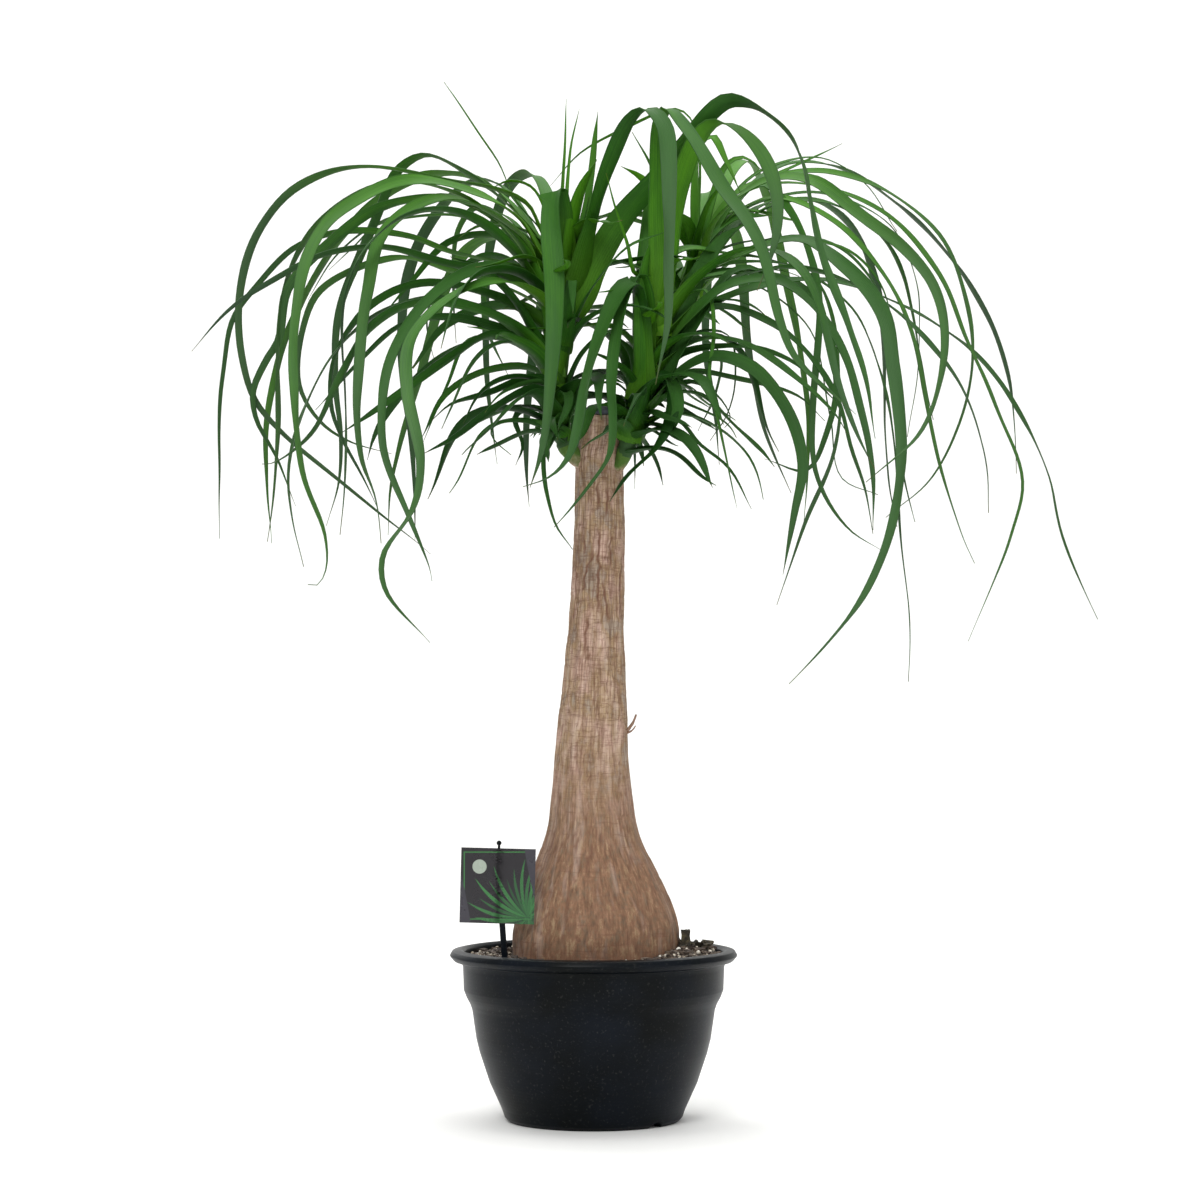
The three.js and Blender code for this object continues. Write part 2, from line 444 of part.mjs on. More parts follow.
function trunkSolid() {
  let trunk = stemSolid(0);
  const twig = skinned([0, 0.5, 1].map((t) => {
    const p = vec(TWIG.from).lerp(vec(TWIG.to), t);
    const r = TWIG.radius * (1.3 - 0.4 * t);
    return [0, 1, 2, 3, 4].map((j) => new THREE.Vector3(
      p.x + r * Math.cos(1.257 * j) * 0.75, p.y + r * Math.sin(1.257 * j), p.z - r * Math.cos(1.257 * j) * 0.66));
  }));
  trunk = trunk.add(solid(twig));
  for (const shoot of Object.values(SHOOTS)) {
    const line = [...shoot.stub, shoot.line[0]];
    trunk = trunk.add(solid(bar(line, [shoot.radius[0] - 1, shoot.radius[0] - 0.5], 14)));
  }
  return trunk;
}

function waxSolid() {
  const { x, radius, height } = WAX;
  const wax = turned([[0, 0], [radius - 0.6, 0], [radius, 1.5], [radius - 0.6, 4.5],
    [radius * 0.82, 8], [radius * 0.5, height - 1], [0, height]], 18);
  wax.translate(x, 0, TRUNK_TOP);
  return solid(wax);
}

// ---- label ---------------------------------------------------------------------------------

/** The stake; `grown` by a clearance it is also the cutter of its hole in the mix. */
function stakeSolid(grown, whole) {
  const [fx, fz] = STAKE.foot;
  const [hx, hz] = STAKE.head;
  const half = STAKE.wide / 2 + grown;
  const tip = STAKE.tip / 2 + grown;
  const outline = new THREE.Shape([[fx - tip, fz], [fx + tip, fz], [fx + half - 0.5, fz + 16],
    [hx + half + 0.5, hz - 34], [hx + 1.3, hz - 8], [hx + 1.1, hz + 3], [hx - 1.1, hz + 3],
    [hx - 1.3, hz - 8], [hx - half + 0.5, hz - 34], [fx - half - 0.5, fz + 16],
  ].map(([x, z]) => new THREE.Vector2(x, z)));
  const geometry = new THREE.ExtrudeGeometry(outline, {
    depth: STAKE.thick + 2 * grown, bevelEnabled: false });
  geometry.rotateX(Math.PI / 2);
  geometry.translate(0, CARD.y + CARD.thick / 2 + STAKE.thick + grown, 0);
  const stake = solid(outward(geometry));
  if (!whole) return stake;
  const knob = new THREE.SphereGeometry(STAKE.knob, 8, 6);
  knob.translate(hx, CARD.y + CARD.thick / 2 + STAKE.thick / 2 + 1, hz + 4.5);
  return stake.add(solid(knob));
}

function cardSolid() {
  const card = new THREE.BoxGeometry(CARD.side, CARD.thick, CARD.side);
  card.rotateY(rad(CARD.roll));
  card.translate(CARD.x, CARD.y, CARD.z);
  return solid(card);
}

// ---- leaves --------------------------------------------------------------------------------

/** Point at depth y that is seen at (x, z) on the plane y = 0. */
function sighted(x, z, y) {
  const k = (SIGHT.far + y) / SIGHT.far;
  return new THREE.Vector3(SIGHT.x + (x - SIGHT.x) * k, y, SIGHT.z + (z - SIGHT.z) * k);
}

/** Point on a shoot's middle line at a height. */
function onShoot(shoot, z) {
  const line = SHOOTS[shoot].line;
  let i = 0;
  while (i + 2 < line.length && line[i + 1][2] < z) i += 1;
  const t = (z - line[i][2]) / (line[i + 1][2] - line[i][2]);
  return vec(line[i]).lerp(vec(line[i + 1]), Math.min(1, Math.max(0, t)));
}

/** Value of an evenly spaced list at t from 0 to 1. */
function along(list, t) {
  const place = Math.min(list.length - 1.0001, t * (list.length - 1));
  const i = Math.floor(place);
  return lerp(list[i], list[i + 1], place - i);
}

/** The points a sighted leaf passes, root first. */
function sightedPath([shoot, , depths, , flat]) {
  const line = SHOOTS[shoot].line;
  const rootZ = Math.min(line[line.length - 1][2] - 8, Math.max(line[0][2] + 8, flat[1] - 26));
  const root = onShoot(shoot, rootZ);
  const back = SIGHT.far / (SIGHT.far + root.y);
  const seen = [[SIGHT.x + (root.x - SIGHT.x) * back, SIGHT.z + (root.z - SIGHT.z) * back]];
  for (let i = 0; i < flat.length; i += 2) seen.push([flat[i], flat[i + 1]]);
  const runs = [0];
  for (let i = 1; i < seen.length; i += 1) {
    runs.push(runs[i - 1] + Math.hypot(seen[i][0] - seen[i - 1][0], seen[i][1] - seen[i - 1][1]));
  }
  const list = [root.y, ...depths];
  return seen.map(([x, z], i) => sighted(x, z, along(list, runs[i] / runs[runs.length - 1])));
}

/** The points a free arching leaf passes: it rises, bows over and hangs. */
function archedPath([shoot, bearing, bend, rootZ, length, rise]) {
  const steps = 12;
  const path = [onShoot(shoot, rootZ)];
  const hang = (88 + 12 * Math.sin(1.7 * bearing)) * Math.min(1, 0.3 + length / 500);
  for (let i = 0; i < steps; i += 1) {
    const t = (i + 0.5) / steps;
    const swing = 17 * t * Math.sin(7.5 * t + 1.3 * bearing);
    const lift = rad(swing - hang + (rise + hang) * Math.exp(-((t / 0.46) ** 2)));
    const sway = 26 * t * Math.sin(6.5 * t + 2.3 * bearing);
    const turn = rad(bearing + bend * 2 * t + sway);
    path.push(path[i].clone().add(new THREE.Vector3(Math.cos(lift) * Math.cos(turn),
      Math.cos(lift) * Math.sin(turn), Math.sin(lift)).multiplyScalar(length / steps)));
  }
  return path;
}

/** Share of the full width at t from root to tip: a slim root, a broad base, a long taper. */
function taper(t) {
  const base = 1 + 0.5 * Math.exp(-((t / 0.17) ** 2)) - Math.exp(-((t / 0.04) ** 2));
  const tip = t < 0.35 ? 1 : 1 - 0.85 * ((t - 0.35) / 0.65) ** 1.6;
  return base * tip;
}

/** Part of a direction at right angles to another, and its length. */
function squared(direction, ahead) {
  const rest = direction.clone().addScaledVector(ahead, -direction.dot(ahead));
  const size = rest.length();
  return [rest.divideScalar(Math.max(size, 1e-9)), size];
}

/**
 * A leaf as a ribbon: close points along its path, each with its way ahead, the way across
 * the blade and half the width there. The way across starts level, follows the path
 * without flipping, is turned by the leaf's rolls, and eases round where the blade would
 * have to bend edgewise, as a real leaf twists there.
 */
function ribbon(path, width, rolls) {
  const points = new THREE.CatmullRomCurve3(path, false, 'centripetal')
    .getPoints(Math.max(90, path.length * 9));
  const last = points.length - 1;
  const runs = [0];
  for (let i = 1; i <= last; i += 1) runs.push(runs[i - 1] + points[i].distanceTo(points[i - 1]));
  const ahead = points.map((_, i) => (
    points[Math.min(last, i + 1)].clone().sub(points[Math.max(0, i - 1)]).normalize()));
  const end = points[last].clone().sub(points[0]);
  const across = new THREE.Vector3(-end.y, end.x, 0).normalize();
  let level = squared(across, ahead[0])[0];
  let made = points.map((point, i) => {
    const t = runs[i] / runs[last];
    const [carried] = squared(level, ahead[i]);
    const [flat, size] = squared(across, ahead[i]);
    if (flat.dot(carried) < 0) flat.negate();
    level = carried.lerp(flat, 0.3 * Math.min(1, Math.max(0, 2 * size - 0.5))).normalize();
    const side = level.clone().applyAxisAngle(ahead[i], rad(lerp(rolls[0], rolls[1], t)));
    return { point, ahead: ahead[i], side, t, half: 0.5 * Math.max(1.6, width * taper(t)) };
  });
  const bends = made.map((_, i) => {
    const [a, b] = [Math.max(0, i - 3), Math.min(last, i + 3)];
    return ahead[b].clone().sub(ahead[a]).divideScalar(runs[b] - runs[a]);
  });
  made.forEach((at, i) => {
    const bend = bends[i].clone();
    const edgewise = at.half * Math.abs(bend.dot(at.side));
    if (edgewise < 0.25) return;
    bend.normalize();
    at.side.addScaledVector(bend, -(1 - 0.25 / edgewise) * bend.dot(at.side)).normalize();
  });
  made = made.map((at, i) => {
    const side = new THREE.Vector3();
    for (let k = Math.max(0, i - 5); k <= Math.min(last, i + 5); k += 1) side.add(made[k].side);
    return { ...at, side: squared(side, at.ahead)[0] };
  });
  made.forEach((at, i) => {
    at.half = Math.min(at.half, 0.6 / Math.max(1e-6, Math.abs(bends[i].dot(at.side))));
  });
  return { made, runs };
}

/** Stations along a ribbon, closer where it bends more, narrowed where two would cross. */
function stations({ made, runs }, most) {
  const costs = [0];
  for (let i = 1; i < made.length; i += 1) {
    costs.push(costs[i - 1] + (runs[i] - runs[i - 1]) / 95
      + made[i].ahead.angleTo(made[i - 1].ahead) * 1.6);
  }
  const total = costs[costs.length - 1];
  const count = Math.max(5, Math.min(most, Math.round(total * 0.6)));
  const picked = [];
  let i = 0;
  for (let k = 0; k <= count; k += 1) {
    while (i + 1 < made.length - 1 && costs[i + 1] < total * k / count) i += 1;
    picked.push({ ...made[k === count ? made.length - 1 : i] });
  }
  for (let k = 0; k < count; k += 1) {
    const [a, b] = [picked[k], picked[k + 1]];
    const crosses = () => [1, -1].some((sign) => {
      const step = b.point.clone().addScaledVector(b.side, sign * b.half)
        .sub(a.point).addScaledVector(a.side, -sign * a.half);
      return step.dot(a.ahead) < 0.4 || step.dot(b.ahead) < 0.4;
    });
    for (let turn = 0; turn < 12 && crosses(); turn += 1) {
      a.half = Math.max(0.8, a.half * 0.85);
      b.half = Math.max(0.8, b.half * 0.85);
    }
  }
  return picked;
}

/** Blade with a keel under it, along a path, with at most so many spans. */
function bladeSolid(path, width, rolls, most) {
  return solid(skinned(stations(ribbon(path, width, rolls), most).map(({ point, ahead, side, t, half }) => {
    const under = side.clone().cross(ahead).normalize();
    return [point.clone().addScaledVector(side, half), point.clone().addScaledVector(side, -half),
      point.clone().addScaledVector(under, lerp(LEAF_THICK, 1.1, t))];
  })));
}

/** One shoot with all its leaves, its foot cut level where it meets the trunk's stub. */
function headSolid(name) {
  const { line, radius } = SHOOTS[name];
  const parts = [solid(bar(line, radius, 8))];
  for (const leaf of LEAVES) {
    const most = leaf[1] < 6 ? 6 : 10;
    if (leaf[0] === name) parts.push(bladeSolid(sightedPath(leaf), leaf[1], leaf[3], most));
  }
  for (const arch of ARCHES) {
    if (arch[0] === name) parts.push(bladeSolid(archedPath(arch), arch[6], [0, 25], 8));
  }
  return wasm.Manifold.union(parts).subtract(stemSolid(GAP)).decompose()
    .reduce((most, body) => (body.volume() > most.volume() ? body : most));
}

const group = new THREE.Group();
group.name = 'potted_ponytail_palm';
group.add(meshNamed('pot', potSolid()));
group.add(meshNamed('soil', soilSolid()));
group.add(meshNamed('trunk', trunkSolid()));
group.add(meshNamed('wax_seal', waxSolid()));
group.add(meshNamed('head_left', headSolid('left')));
group.add(meshNamed('head_right', headSolid('right')));
group.add(meshNamed('head_back', headSolid('back')));
group.add(meshNamed('label_card', cardSolid()));
group.add(meshNamed('label_stake', stakeSolid(0, true)));

export default group;
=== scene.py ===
"""Potted ponytail palm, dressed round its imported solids.

A black nursery pot of bark mix carries a swollen-footed trunk that was sawn off and
sealed. Three shoots below the cut bear long strap leaves, and a small card stands on a
stake beside the trunk. Sizes are written in millimetres and turned to metres as each
mesh is made. The front is -Y.
"""

import logging
import math
from bisect import bisect_left
from collections.abc import Iterator
from dataclasses import dataclass
from enum import Enum

import bmesh
import bpy
from mathutils import Euler, Matrix, Quaternion, Vector, noise


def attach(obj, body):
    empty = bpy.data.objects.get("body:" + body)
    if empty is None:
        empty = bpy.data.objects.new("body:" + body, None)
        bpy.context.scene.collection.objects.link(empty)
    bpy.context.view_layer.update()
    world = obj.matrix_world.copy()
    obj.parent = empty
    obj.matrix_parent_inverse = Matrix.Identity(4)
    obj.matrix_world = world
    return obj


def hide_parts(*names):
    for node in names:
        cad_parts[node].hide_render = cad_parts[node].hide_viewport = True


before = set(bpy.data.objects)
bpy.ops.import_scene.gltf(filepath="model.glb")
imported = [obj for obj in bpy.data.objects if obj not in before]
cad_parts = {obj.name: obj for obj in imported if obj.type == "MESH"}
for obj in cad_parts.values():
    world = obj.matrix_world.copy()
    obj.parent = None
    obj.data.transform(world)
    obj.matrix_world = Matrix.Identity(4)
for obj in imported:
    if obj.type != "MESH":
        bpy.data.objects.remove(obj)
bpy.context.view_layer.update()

LOG = logging.getLogger("ponytail_palm")
NOISE_SEED = 5                          # Blender's own vector noise has another seed each run
MM = 0.001
METRE = 1000.0                          # millimetres, for the scale of patterns

# ---- driving dimensions, millimetres ------------------------------------------------

RIM_RADIUS = 135.0
RIM_TOP = 160.0
FLOOR_TOP = 8.0
SOIL_TOP = 153.0
MOUND_HEIGHT = 9.0
MOUND_BEARING = -8.0
MOUND_SPREAD = 38.0
TRUNK_FOOT = 110.0
TRUNK_TOP = 660.0
TRUNK_BURIED_X = 2.4
TRUNK_BURIED_RADIUS = 78.0
TRUNK_BURIED_TOP = 168.0
TRUNK_TOP_MIDDLE = (8.5, 18.6)          # middle x and radius of the cut
# height, middle x, radius
TRUNK_FORM = [
    (186, 2.8, 76), (205, 2, 70), (224, 1, 61.6), (243, 0, 53), (261, -1, 45.7),
    (280, -1, 41), (299, -1.4, 38.6), (337, -1.4, 34.8), (375, 0, 32.5), (412, 1, 29.6),
    (450, 1.9, 26.8), (487, 3.3, 25.4), (525, 4.2, 24.5), (562, 5.5, 23.4),
    (600, 5.7, 22.8), (620, 5.5, 22.5), (640, 8, 20.4), (655, 8.5, 19.2),
]
LABEL_X = -88.3
LABEL_Y = -56.0
LABEL_Z = 222.5
# the place the leaves were sighted from, and its distance from the middle of the pot
SIGHT_X = 6.0
SIGHT_Z = 415.0
SIGHT_FAR = 3000.0
GOLDEN_ANGLE = 137.5                    # degrees from each young leaf to the next
VIEW_Z = 487.0                          # height in the middle of the view
VIEW_WIDTH = 1129.0                     # width of the view at the pot's axis

# the middle line of each shoot (x, y, z), its radius at the foot and at the tip
SHOOTS = {
    "left": {"line": [[-25, -9, 631], [-30, -10, 645], [-33, -11, 662], [-34, -12, 700],
                      [-31, -12, 750], [-28, -12, 798]],
             "stub": [[-6, -4, 611], [-17, -7, 621]], "radius": [9.2, 4.5]},
    "right": {"line": [[28, -15, 622], [34, -18, 641], [41, -19, 662], [52, -20, 700],
                       [58, -20, 740], [62, -20, 782]],
              "stub": [[15, -8, 603], [23, -12, 612]], "radius": [7.8, 4.5]},
    "back": {"line": [[25, 23, 640], [31, 34, 664], [48, 44, 700], [72, 54, 745],
                      [95, 60, 785], [106, 62, 815]],
             "stub": [[10, 8, 618], [18, 16, 630]], "radius": [9.5, 4.5]},
}

# Each leaf of a shoot: width, depth (y) at even steps after the root, turn of the blade at
# root and tip in degrees, and the points it passes as sighted on the plane y = 0 (x, z).
LEAVES = {
    "left": [
        # long arches to the left
        (9, (20, 60), (25, 60), (-50, 838, -62, 860, -92, 875, -145, 885, -205, 896, -251, 890,
         -288, 872, -313, 841, -327, 806, -335, 763, -332, 717, -321, 678, -295, 646, -250, 608,
         -197, 565, -154, 530)),
        (10, (70, 170), (15, 60), (-53, 832, -78, 858, -120, 891, -158, 907, -185, 892, -202, 856,
         -222, 810, -241, 755, -243, 690, -238, 639, -240, 597, -252, 557)),
        (13, (-90, -210), (-60, 20), (-50, 800, -63, 826, -87, 847, -130, 867, -170, 858,
         -201, 830, -213, 780, -219, 733, -223, 660, -219, 620, -206, 585, -200, 540)),
        (12, (-80, -220, -320), (-60, 20), (-48, 815, -70, 848, -124, 876, -179, 883, -236, 858,
         -265, 822, -280, 770, -282, 690, -275, 612, -253, 548, -252, 516, -260, 501, -269, 501)),
        (4, (120, 220), (20, 40), (-70, 835, -103, 844, -147, 850, -209, 840, -243, 812,
         -270, 770)),
        (4, (90, 190), (20, 40), (-80, 832, -141, 853, -198, 846, -227, 819, -250, 798)),
        (11, (10, 40), (25, 65), (-50, 810, -85, 848, -120, 862, -154, 867, -209, 854, -255, 819,
         -288, 780, -297, 733, -310, 712, -321, 684, -318, 657, -297, 618, -280, 575)),
        (7, (50, 120), (30, 50), (-45, 790, -80, 803, -133, 815, -176, 831, -236, 835, -283, 819,
         -318, 783, -340, 751, -349, 700, -353, 640, -352, 545)),
        (9, (-50, -130), (35, 50), (-45, 770, -90, 795, -139, 806, -197, 820, -247, 815, -292, 795,
         -341, 763, -378, 721)),
        (8, (90, 200), (25, 60), (-45, 760, -85, 783, -139, 800, -181, 810, -228, 798, -261, 777,
         -274, 745, -277, 690, -257, 655, -230, 636, -190, 625)),
        (9, (-30, -70), (40, 60), (-42, 745, -95, 775, -160, 786, -210, 765, -243, 720, -247, 670,
         -237, 640, -219, 606, -203, 573)),
        (12, (-80, -190), (40, 60), (-40, 700, -63, 737, -110, 763, -165, 768, -210, 745,
         -239, 699, -265, 645, -300, 617, -312, 615)),
        (10, (-20, -40), (35, 50), (-40, 690, -60, 728, -100, 747, -147, 754, -184, 745, -225, 707,
         -262, 666)),
        (10, (-120, -280), (-60, 20), (-45, 785, -75, 800, -110, 800, -137, 786, -168, 757,
         -187, 725, -198, 680, -199, 632, -177, 572, -156, 520, -153, 505)),
        (12, (-140, -280, -350), (-20, 20), (-45, 770, -80, 788, -115, 783, -155, 757, -173, 730,
         -176, 683, -162, 615, -171, 569, -198, 527, -196, 495, -154, 447)),
        (12, (-40, -80), (55, 60), (-40, 705, -55, 725, -95, 738, -137, 715, -182, 682,
         -240, 643)),
        (13, (50, 100), (60, 60), (-42, 735, -58, 760, -100, 764, -140, 745, -171, 706)),
        (10, (80, 150), (40, 50), (-50, 775, -75, 805, -101, 812, -137, 791, -163, 770)),
        (9, (30, 60), (40, 50), (-45, 790, -60, 818, -100, 832, -137, 824, -172, 788, -199, 757)),
        (7, (150, 260), (30, 40), (-50, 810, -80, 847, -112, 858, -128, 835, -132, 780,
         -130, 730)),
        (8, (130, 230), (30, 50), (-45, 770, -75, 800, -98, 798, -103, 766, -99, 736, -80, 696)),
        (5, (170, 300), (30, 40), (-45, 760, -100, 800, -140, 790, -158, 755, -149, 710)),
        (5, (80, 150), (30, 60), (-45, 710, -90, 735, -120, 730, -138, 691, -161, 635)),
        (9, (20, 60), (45, 60), (-38, 690, -60, 706, -105, 703, -140, 680, -163, 638)),
        (10, (-20, -30), (50, 20), (-38, 690, -60, 697, -100, 682, -135, 671, -152, 656)),
        (12, (-40, -60), (55, 60), (-38, 672, -55, 686, -97, 667, -130, 641, -160, 624)),
        (6, (-30, -40), (40, 60), (-38, 648, -60, 655, -85, 655, -97, 648, -94, 638, -78, 624)),
        (7, (10, 20), (50, 60), (-38, 660, -60, 669, -74, 660, -66, 632, -73, 614)),
        (5, (-60, -80), (30, 40), (-42, 650, -46, 640, -47, 610, -44, 585, -36, 557, -20, 535)),
        (7, (-5, 20), (60, 40), (-40, 820, -46, 855, -60, 878, -80, 883, -97, 875)),
        (4, (20, 30), (30, 30), (-50, 835, -74, 865, -90, 900, -109, 930, -142, 977)),
        # upright and forward leaves
        (12, (-15, -18), (75, 90), (-20, 800, -9, 845, -3, 885, 4, 948)),
        (18, (-40, -52), (20, 10), (-25, 800, -21, 840, -12, 875, 3, 903)),
        (4, (10, 30), (30, 30), (-30, 840, -29, 882, -27, 920, -26, 960)),
        (4, (5, 16), (30, 30), (-28, 840, -25, 884, -21, 918, -14, 950)),
        (20, (-64, -84, -110, -130), (0, 10), (-32, 820, -34, 858, -38, 875, -41, 858, -37, 766,
         -40, 692, -44, 655, -51, 622, -60, 592)),
        (17, (-70, -130, -190, -230), (10, 20), (-16, 790, -6, 830, 13, 895, 35, 942, 50, 952,
         66, 938, 71, 900, 71, 815, 69, 745, 58, 690)),
        (18, (-36, -84, -150, -210), (-60, 20), (-12, 775, 0, 802, 27, 848, 57, 882, 86, 916,
         110, 947, 127, 959, 147, 956, 171, 941, 189, 921, 199, 897, 205, 861, 216, 810, 240, 745,
         258, 690, 265, 640)),
        (15, (-50, -76, -84), (0, 0), (-26, 745, -23, 772, -21, 790, -21, 782, -20, 757)),
        (9, (-60, -110), (40, 30), (-18, 750, 0, 785, 33, 820, 65, 834)),
        (14, (-30, -36), (40, 50), (-26, 690, -12, 718, 12, 739, 36, 742)),
        (13, (-24, -30), (45, 45), (-24, 660, -10, 686, 10, 697, 30, 690)),
        (13, (-30, -30), (40, 50), (-36, 700, -44, 760, -60, 812, -84, 842, -116, 858)),
        (14, (-26, -34), (55, 60), (-38, 690, -54, 735, -78, 774, -104, 799, -136, 810)),
        (15, (0, 10), (50, 60), (-36, 720, -48, 775, -70, 825, -100, 852, -140, 868)),
        (18, (-28, -30), (10, 0), (-28, 720, -22, 770, -14, 820, -4, 868)),
    ],
    "right": [
        # forward and downward, then to the right
        (20, (-50, -90, -130, -165), (-20, 20), (47, 715, 44, 765, 38, 788, 27, 783, 15, 760,
         -4, 707, -14, 655, -25, 620, -42, 602, -66, 593)),
        (13, (-50, -90, -130, -150), (-20, 20), (52, 730, 50, 775, 42, 794, 30, 776, 20, 730,
         17, 692, 18, 655, 14, 622, -2, 597, -37, 555)),
        (20, (-32, -60, -110, -150), (-60, 60), (58, 760, 68, 810, 74, 850, 84, 889, 100, 925,
         116, 939, 132, 935, 151, 919, 167, 893, 174, 865, 173, 837, 167, 810, 155, 778)),
        (24, (-24, -10, 4), (60, 50), (64, 708, 80, 755, 101, 798, 124, 830, 146, 843)),
        (19, (-40, -50, -44), (-20, 20), (48, 700, 46, 735, 45, 770, 49, 805, 58, 835)),
        (16, (-36, -42, -40), (60, 60), (68, 702, 88, 736, 108, 768, 130, 797, 152, 800,
         166, 785)),
        (14, (-10, 5), (20, 30), (54, 712, 48, 752, 46, 800, 50, 850, 56, 896)),
        (20, (-44, -52, -44), (-20, 60), (44, 664, 54, 692, 70, 697, 79, 668, 63, 632)),
        (16, (-14, -24), (35, 30), (42, 662, 42, 692, 36, 720, 20, 737)),
        (12, (2, 12), (40, 40), (36, 648, 35, 676, 24, 690, 2, 692)),
        (15, (-80, -180, -230), (-20, 60), (58, 770, 62, 800, 60, 880, 62, 938, 70, 952, 84, 938,
         120, 881, 158, 822, 176, 750, 193, 712, 247, 662)),
        (4, (-60, -95), (30, 40), (60, 790, 40, 794, 32, 825, 18, 867, 12, 890)),
        (10, (40, 125, 160), (25, 50), (70, 735, 95, 757, 120, 771, 175, 788, 233, 787, 300, 761,
         362, 717, 402, 663, 428, 605, 441, 545, 475, 468)),
        (12, (-90, -180), (55, 20), (72, 735, 100, 765, 130, 785, 175, 789, 208, 764, 239, 712,
         252, 665, 262, 610, 263, 553)),
        (9, (-10, 20), (50, 50), (70, 730, 100, 758, 125, 764, 175, 745, 212, 707, 231, 672,
         242, 630, 255, 590, 263, 550)),
        (14, (-90, -150), (30, 60), (60, 680, 75, 698, 110, 718, 150, 706, 182, 667, 197, 615,
         189, 570, 178, 510)),
        (9, (10, 60), (50, 50), (60, 700, 85, 720, 139, 727, 185, 713, 232, 672)),
        (8, (50, 120), (50, 50), (55, 678, 70, 690, 95, 702, 140, 695, 192, 680, 218, 655)),
        (8, (20, 60), (50, 50), (52, 668, 70, 685, 92, 693, 118, 678, 129, 657, 123, 650)),
        (6, (90, 190), (40, 50), (60, 700, 95, 735, 118, 720, 115, 682, 98, 646)),
        (4, (50, 110), (40, 50), (62, 710, 100, 740, 128, 735, 133, 694, 125, 661, 109, 637)),
        (5, (-30, -40), (40, 50), (48, 650, 65, 662, 82, 655, 99, 635, 127, 612, 149, 572)),
        (4, (-60, -100), (40, 50), (70, 760, 105, 780, 113, 740, 109, 700, 118, 655, 131, 591,
         135, 573)),
        (14, (-50, -70), (-20, 20), (52, 690, 66, 699, 76, 685, 71, 655, 58, 630, 32, 605,
         15, 580)),
        (9, (-30, -20), (30, 40), (60, 775, 63, 805, 60, 850, 57, 888, 35, 929)),
    ],
    "back": [
        # behind, then long arches to the right
        (22, (40, 24), (15, 30), (92, 800, 98, 830, 108, 862, 124, 884)),
        (20, (44, 34), (40, 40), (96, 806, 114, 832, 136, 848, 166, 850)),
        (15, (50, 30, 20), (60, 50), (97, 805, 92, 825, 75, 845, 60, 868, 45, 886, 25, 896)),
        (13, (60, 40), (60, 60), (100, 815, 96, 850, 100, 915, 112, 925, 126, 900, 138, 872)),
        (9, (70, 90), (40, 40), (100, 815, 110, 860, 126, 900, 142, 905, 160, 890)),
        (12, (30, 0), (60, 50), (95, 820, 87, 844, 74, 848, 50, 857, 34, 862)),
        (5, (80, 100, 110), (30, 30), (100, 840, 95, 935, 80, 950, 35, 935, -10, 911, -40, 878)),
        (5, (90, 120), (40, 40), (108, 825, 130, 860, 160, 883, 188, 896, 235, 918)),
        (4, (110, 160), (40, 40), (110, 830, 140, 880, 170, 898, 217, 904, 257, 880, 286, 835)),
        (12, (-60, -170, -240), (40, 60), (102, 810, 115, 845, 160, 883, 205, 884, 250, 852,
         291, 820, 320, 786, 331, 745, 327, 694, 308, 645, 256, 598)),
        (8, (70, 80), (35, 40), (105, 820, 120, 855, 145, 878, 215, 892, 272, 875, 326, 832,
         350, 775, 357, 720, 345, 655, 315, 598, 275, 565)),
        (6, (60, 40), (30, 50), (100, 812, 125, 858, 165, 880, 222, 876, 277, 851, 324, 798,
         352, 733, 378, 673, 403, 600, 393, 549, 352, 448)),
        (14, (-70, -200, -300), (20, 60), (95, 795, 118, 805, 140, 815, 195, 828, 240, 800,
         272, 758, 283, 705, 290, 640, 286, 583, 270, 525, 243, 475, 184, 408)),
        (8, (130, 200), (35, 50), (100, 795, 130, 812, 190, 800, 240, 765, 265, 720, 282, 640,
         288, 550, 298, 450, 296, 410)),
        (7, (20, -40), (35, 30), (102, 808, 122, 842, 150, 862, 180, 867, 233, 841, 275, 793,
         302, 732, 320, 643, 345, 550, 358, 521)),
        (5, (100, 120), (35, 40), (104, 806, 130, 822, 179, 827, 237, 819, 270, 786, 284, 740)),
        (4, (160, 250), (35, 40), (106, 820, 150, 860, 220, 870, 280, 840, 305, 783, 305, 701,
         295, 641)),
        (9, (20, 10), (30, 60), (108, 820, 130, 860, 160, 880, 185, 855, 203, 815, 213, 765,
         207, 675, 209, 607, 240, 554, 273, 532)),
        (10, (40, 60), (30, 60), (98, 790, 150, 796, 200, 780, 228, 700, 219, 642, 200, 609,
         161, 620)),
        (9, (60, 110), (30, 60), (98, 795, 160, 806, 210, 790, 232, 690, 226, 625, 200, 564,
         172, 482)),
        (5, (70, 140), (40, 40), (98, 790, 150, 785, 205, 740, 222, 660, 232, 603, 268, 586)),
    ],
}
CUT_TIP = (-171, 706)                   # where the one leaf with a cut tip ends

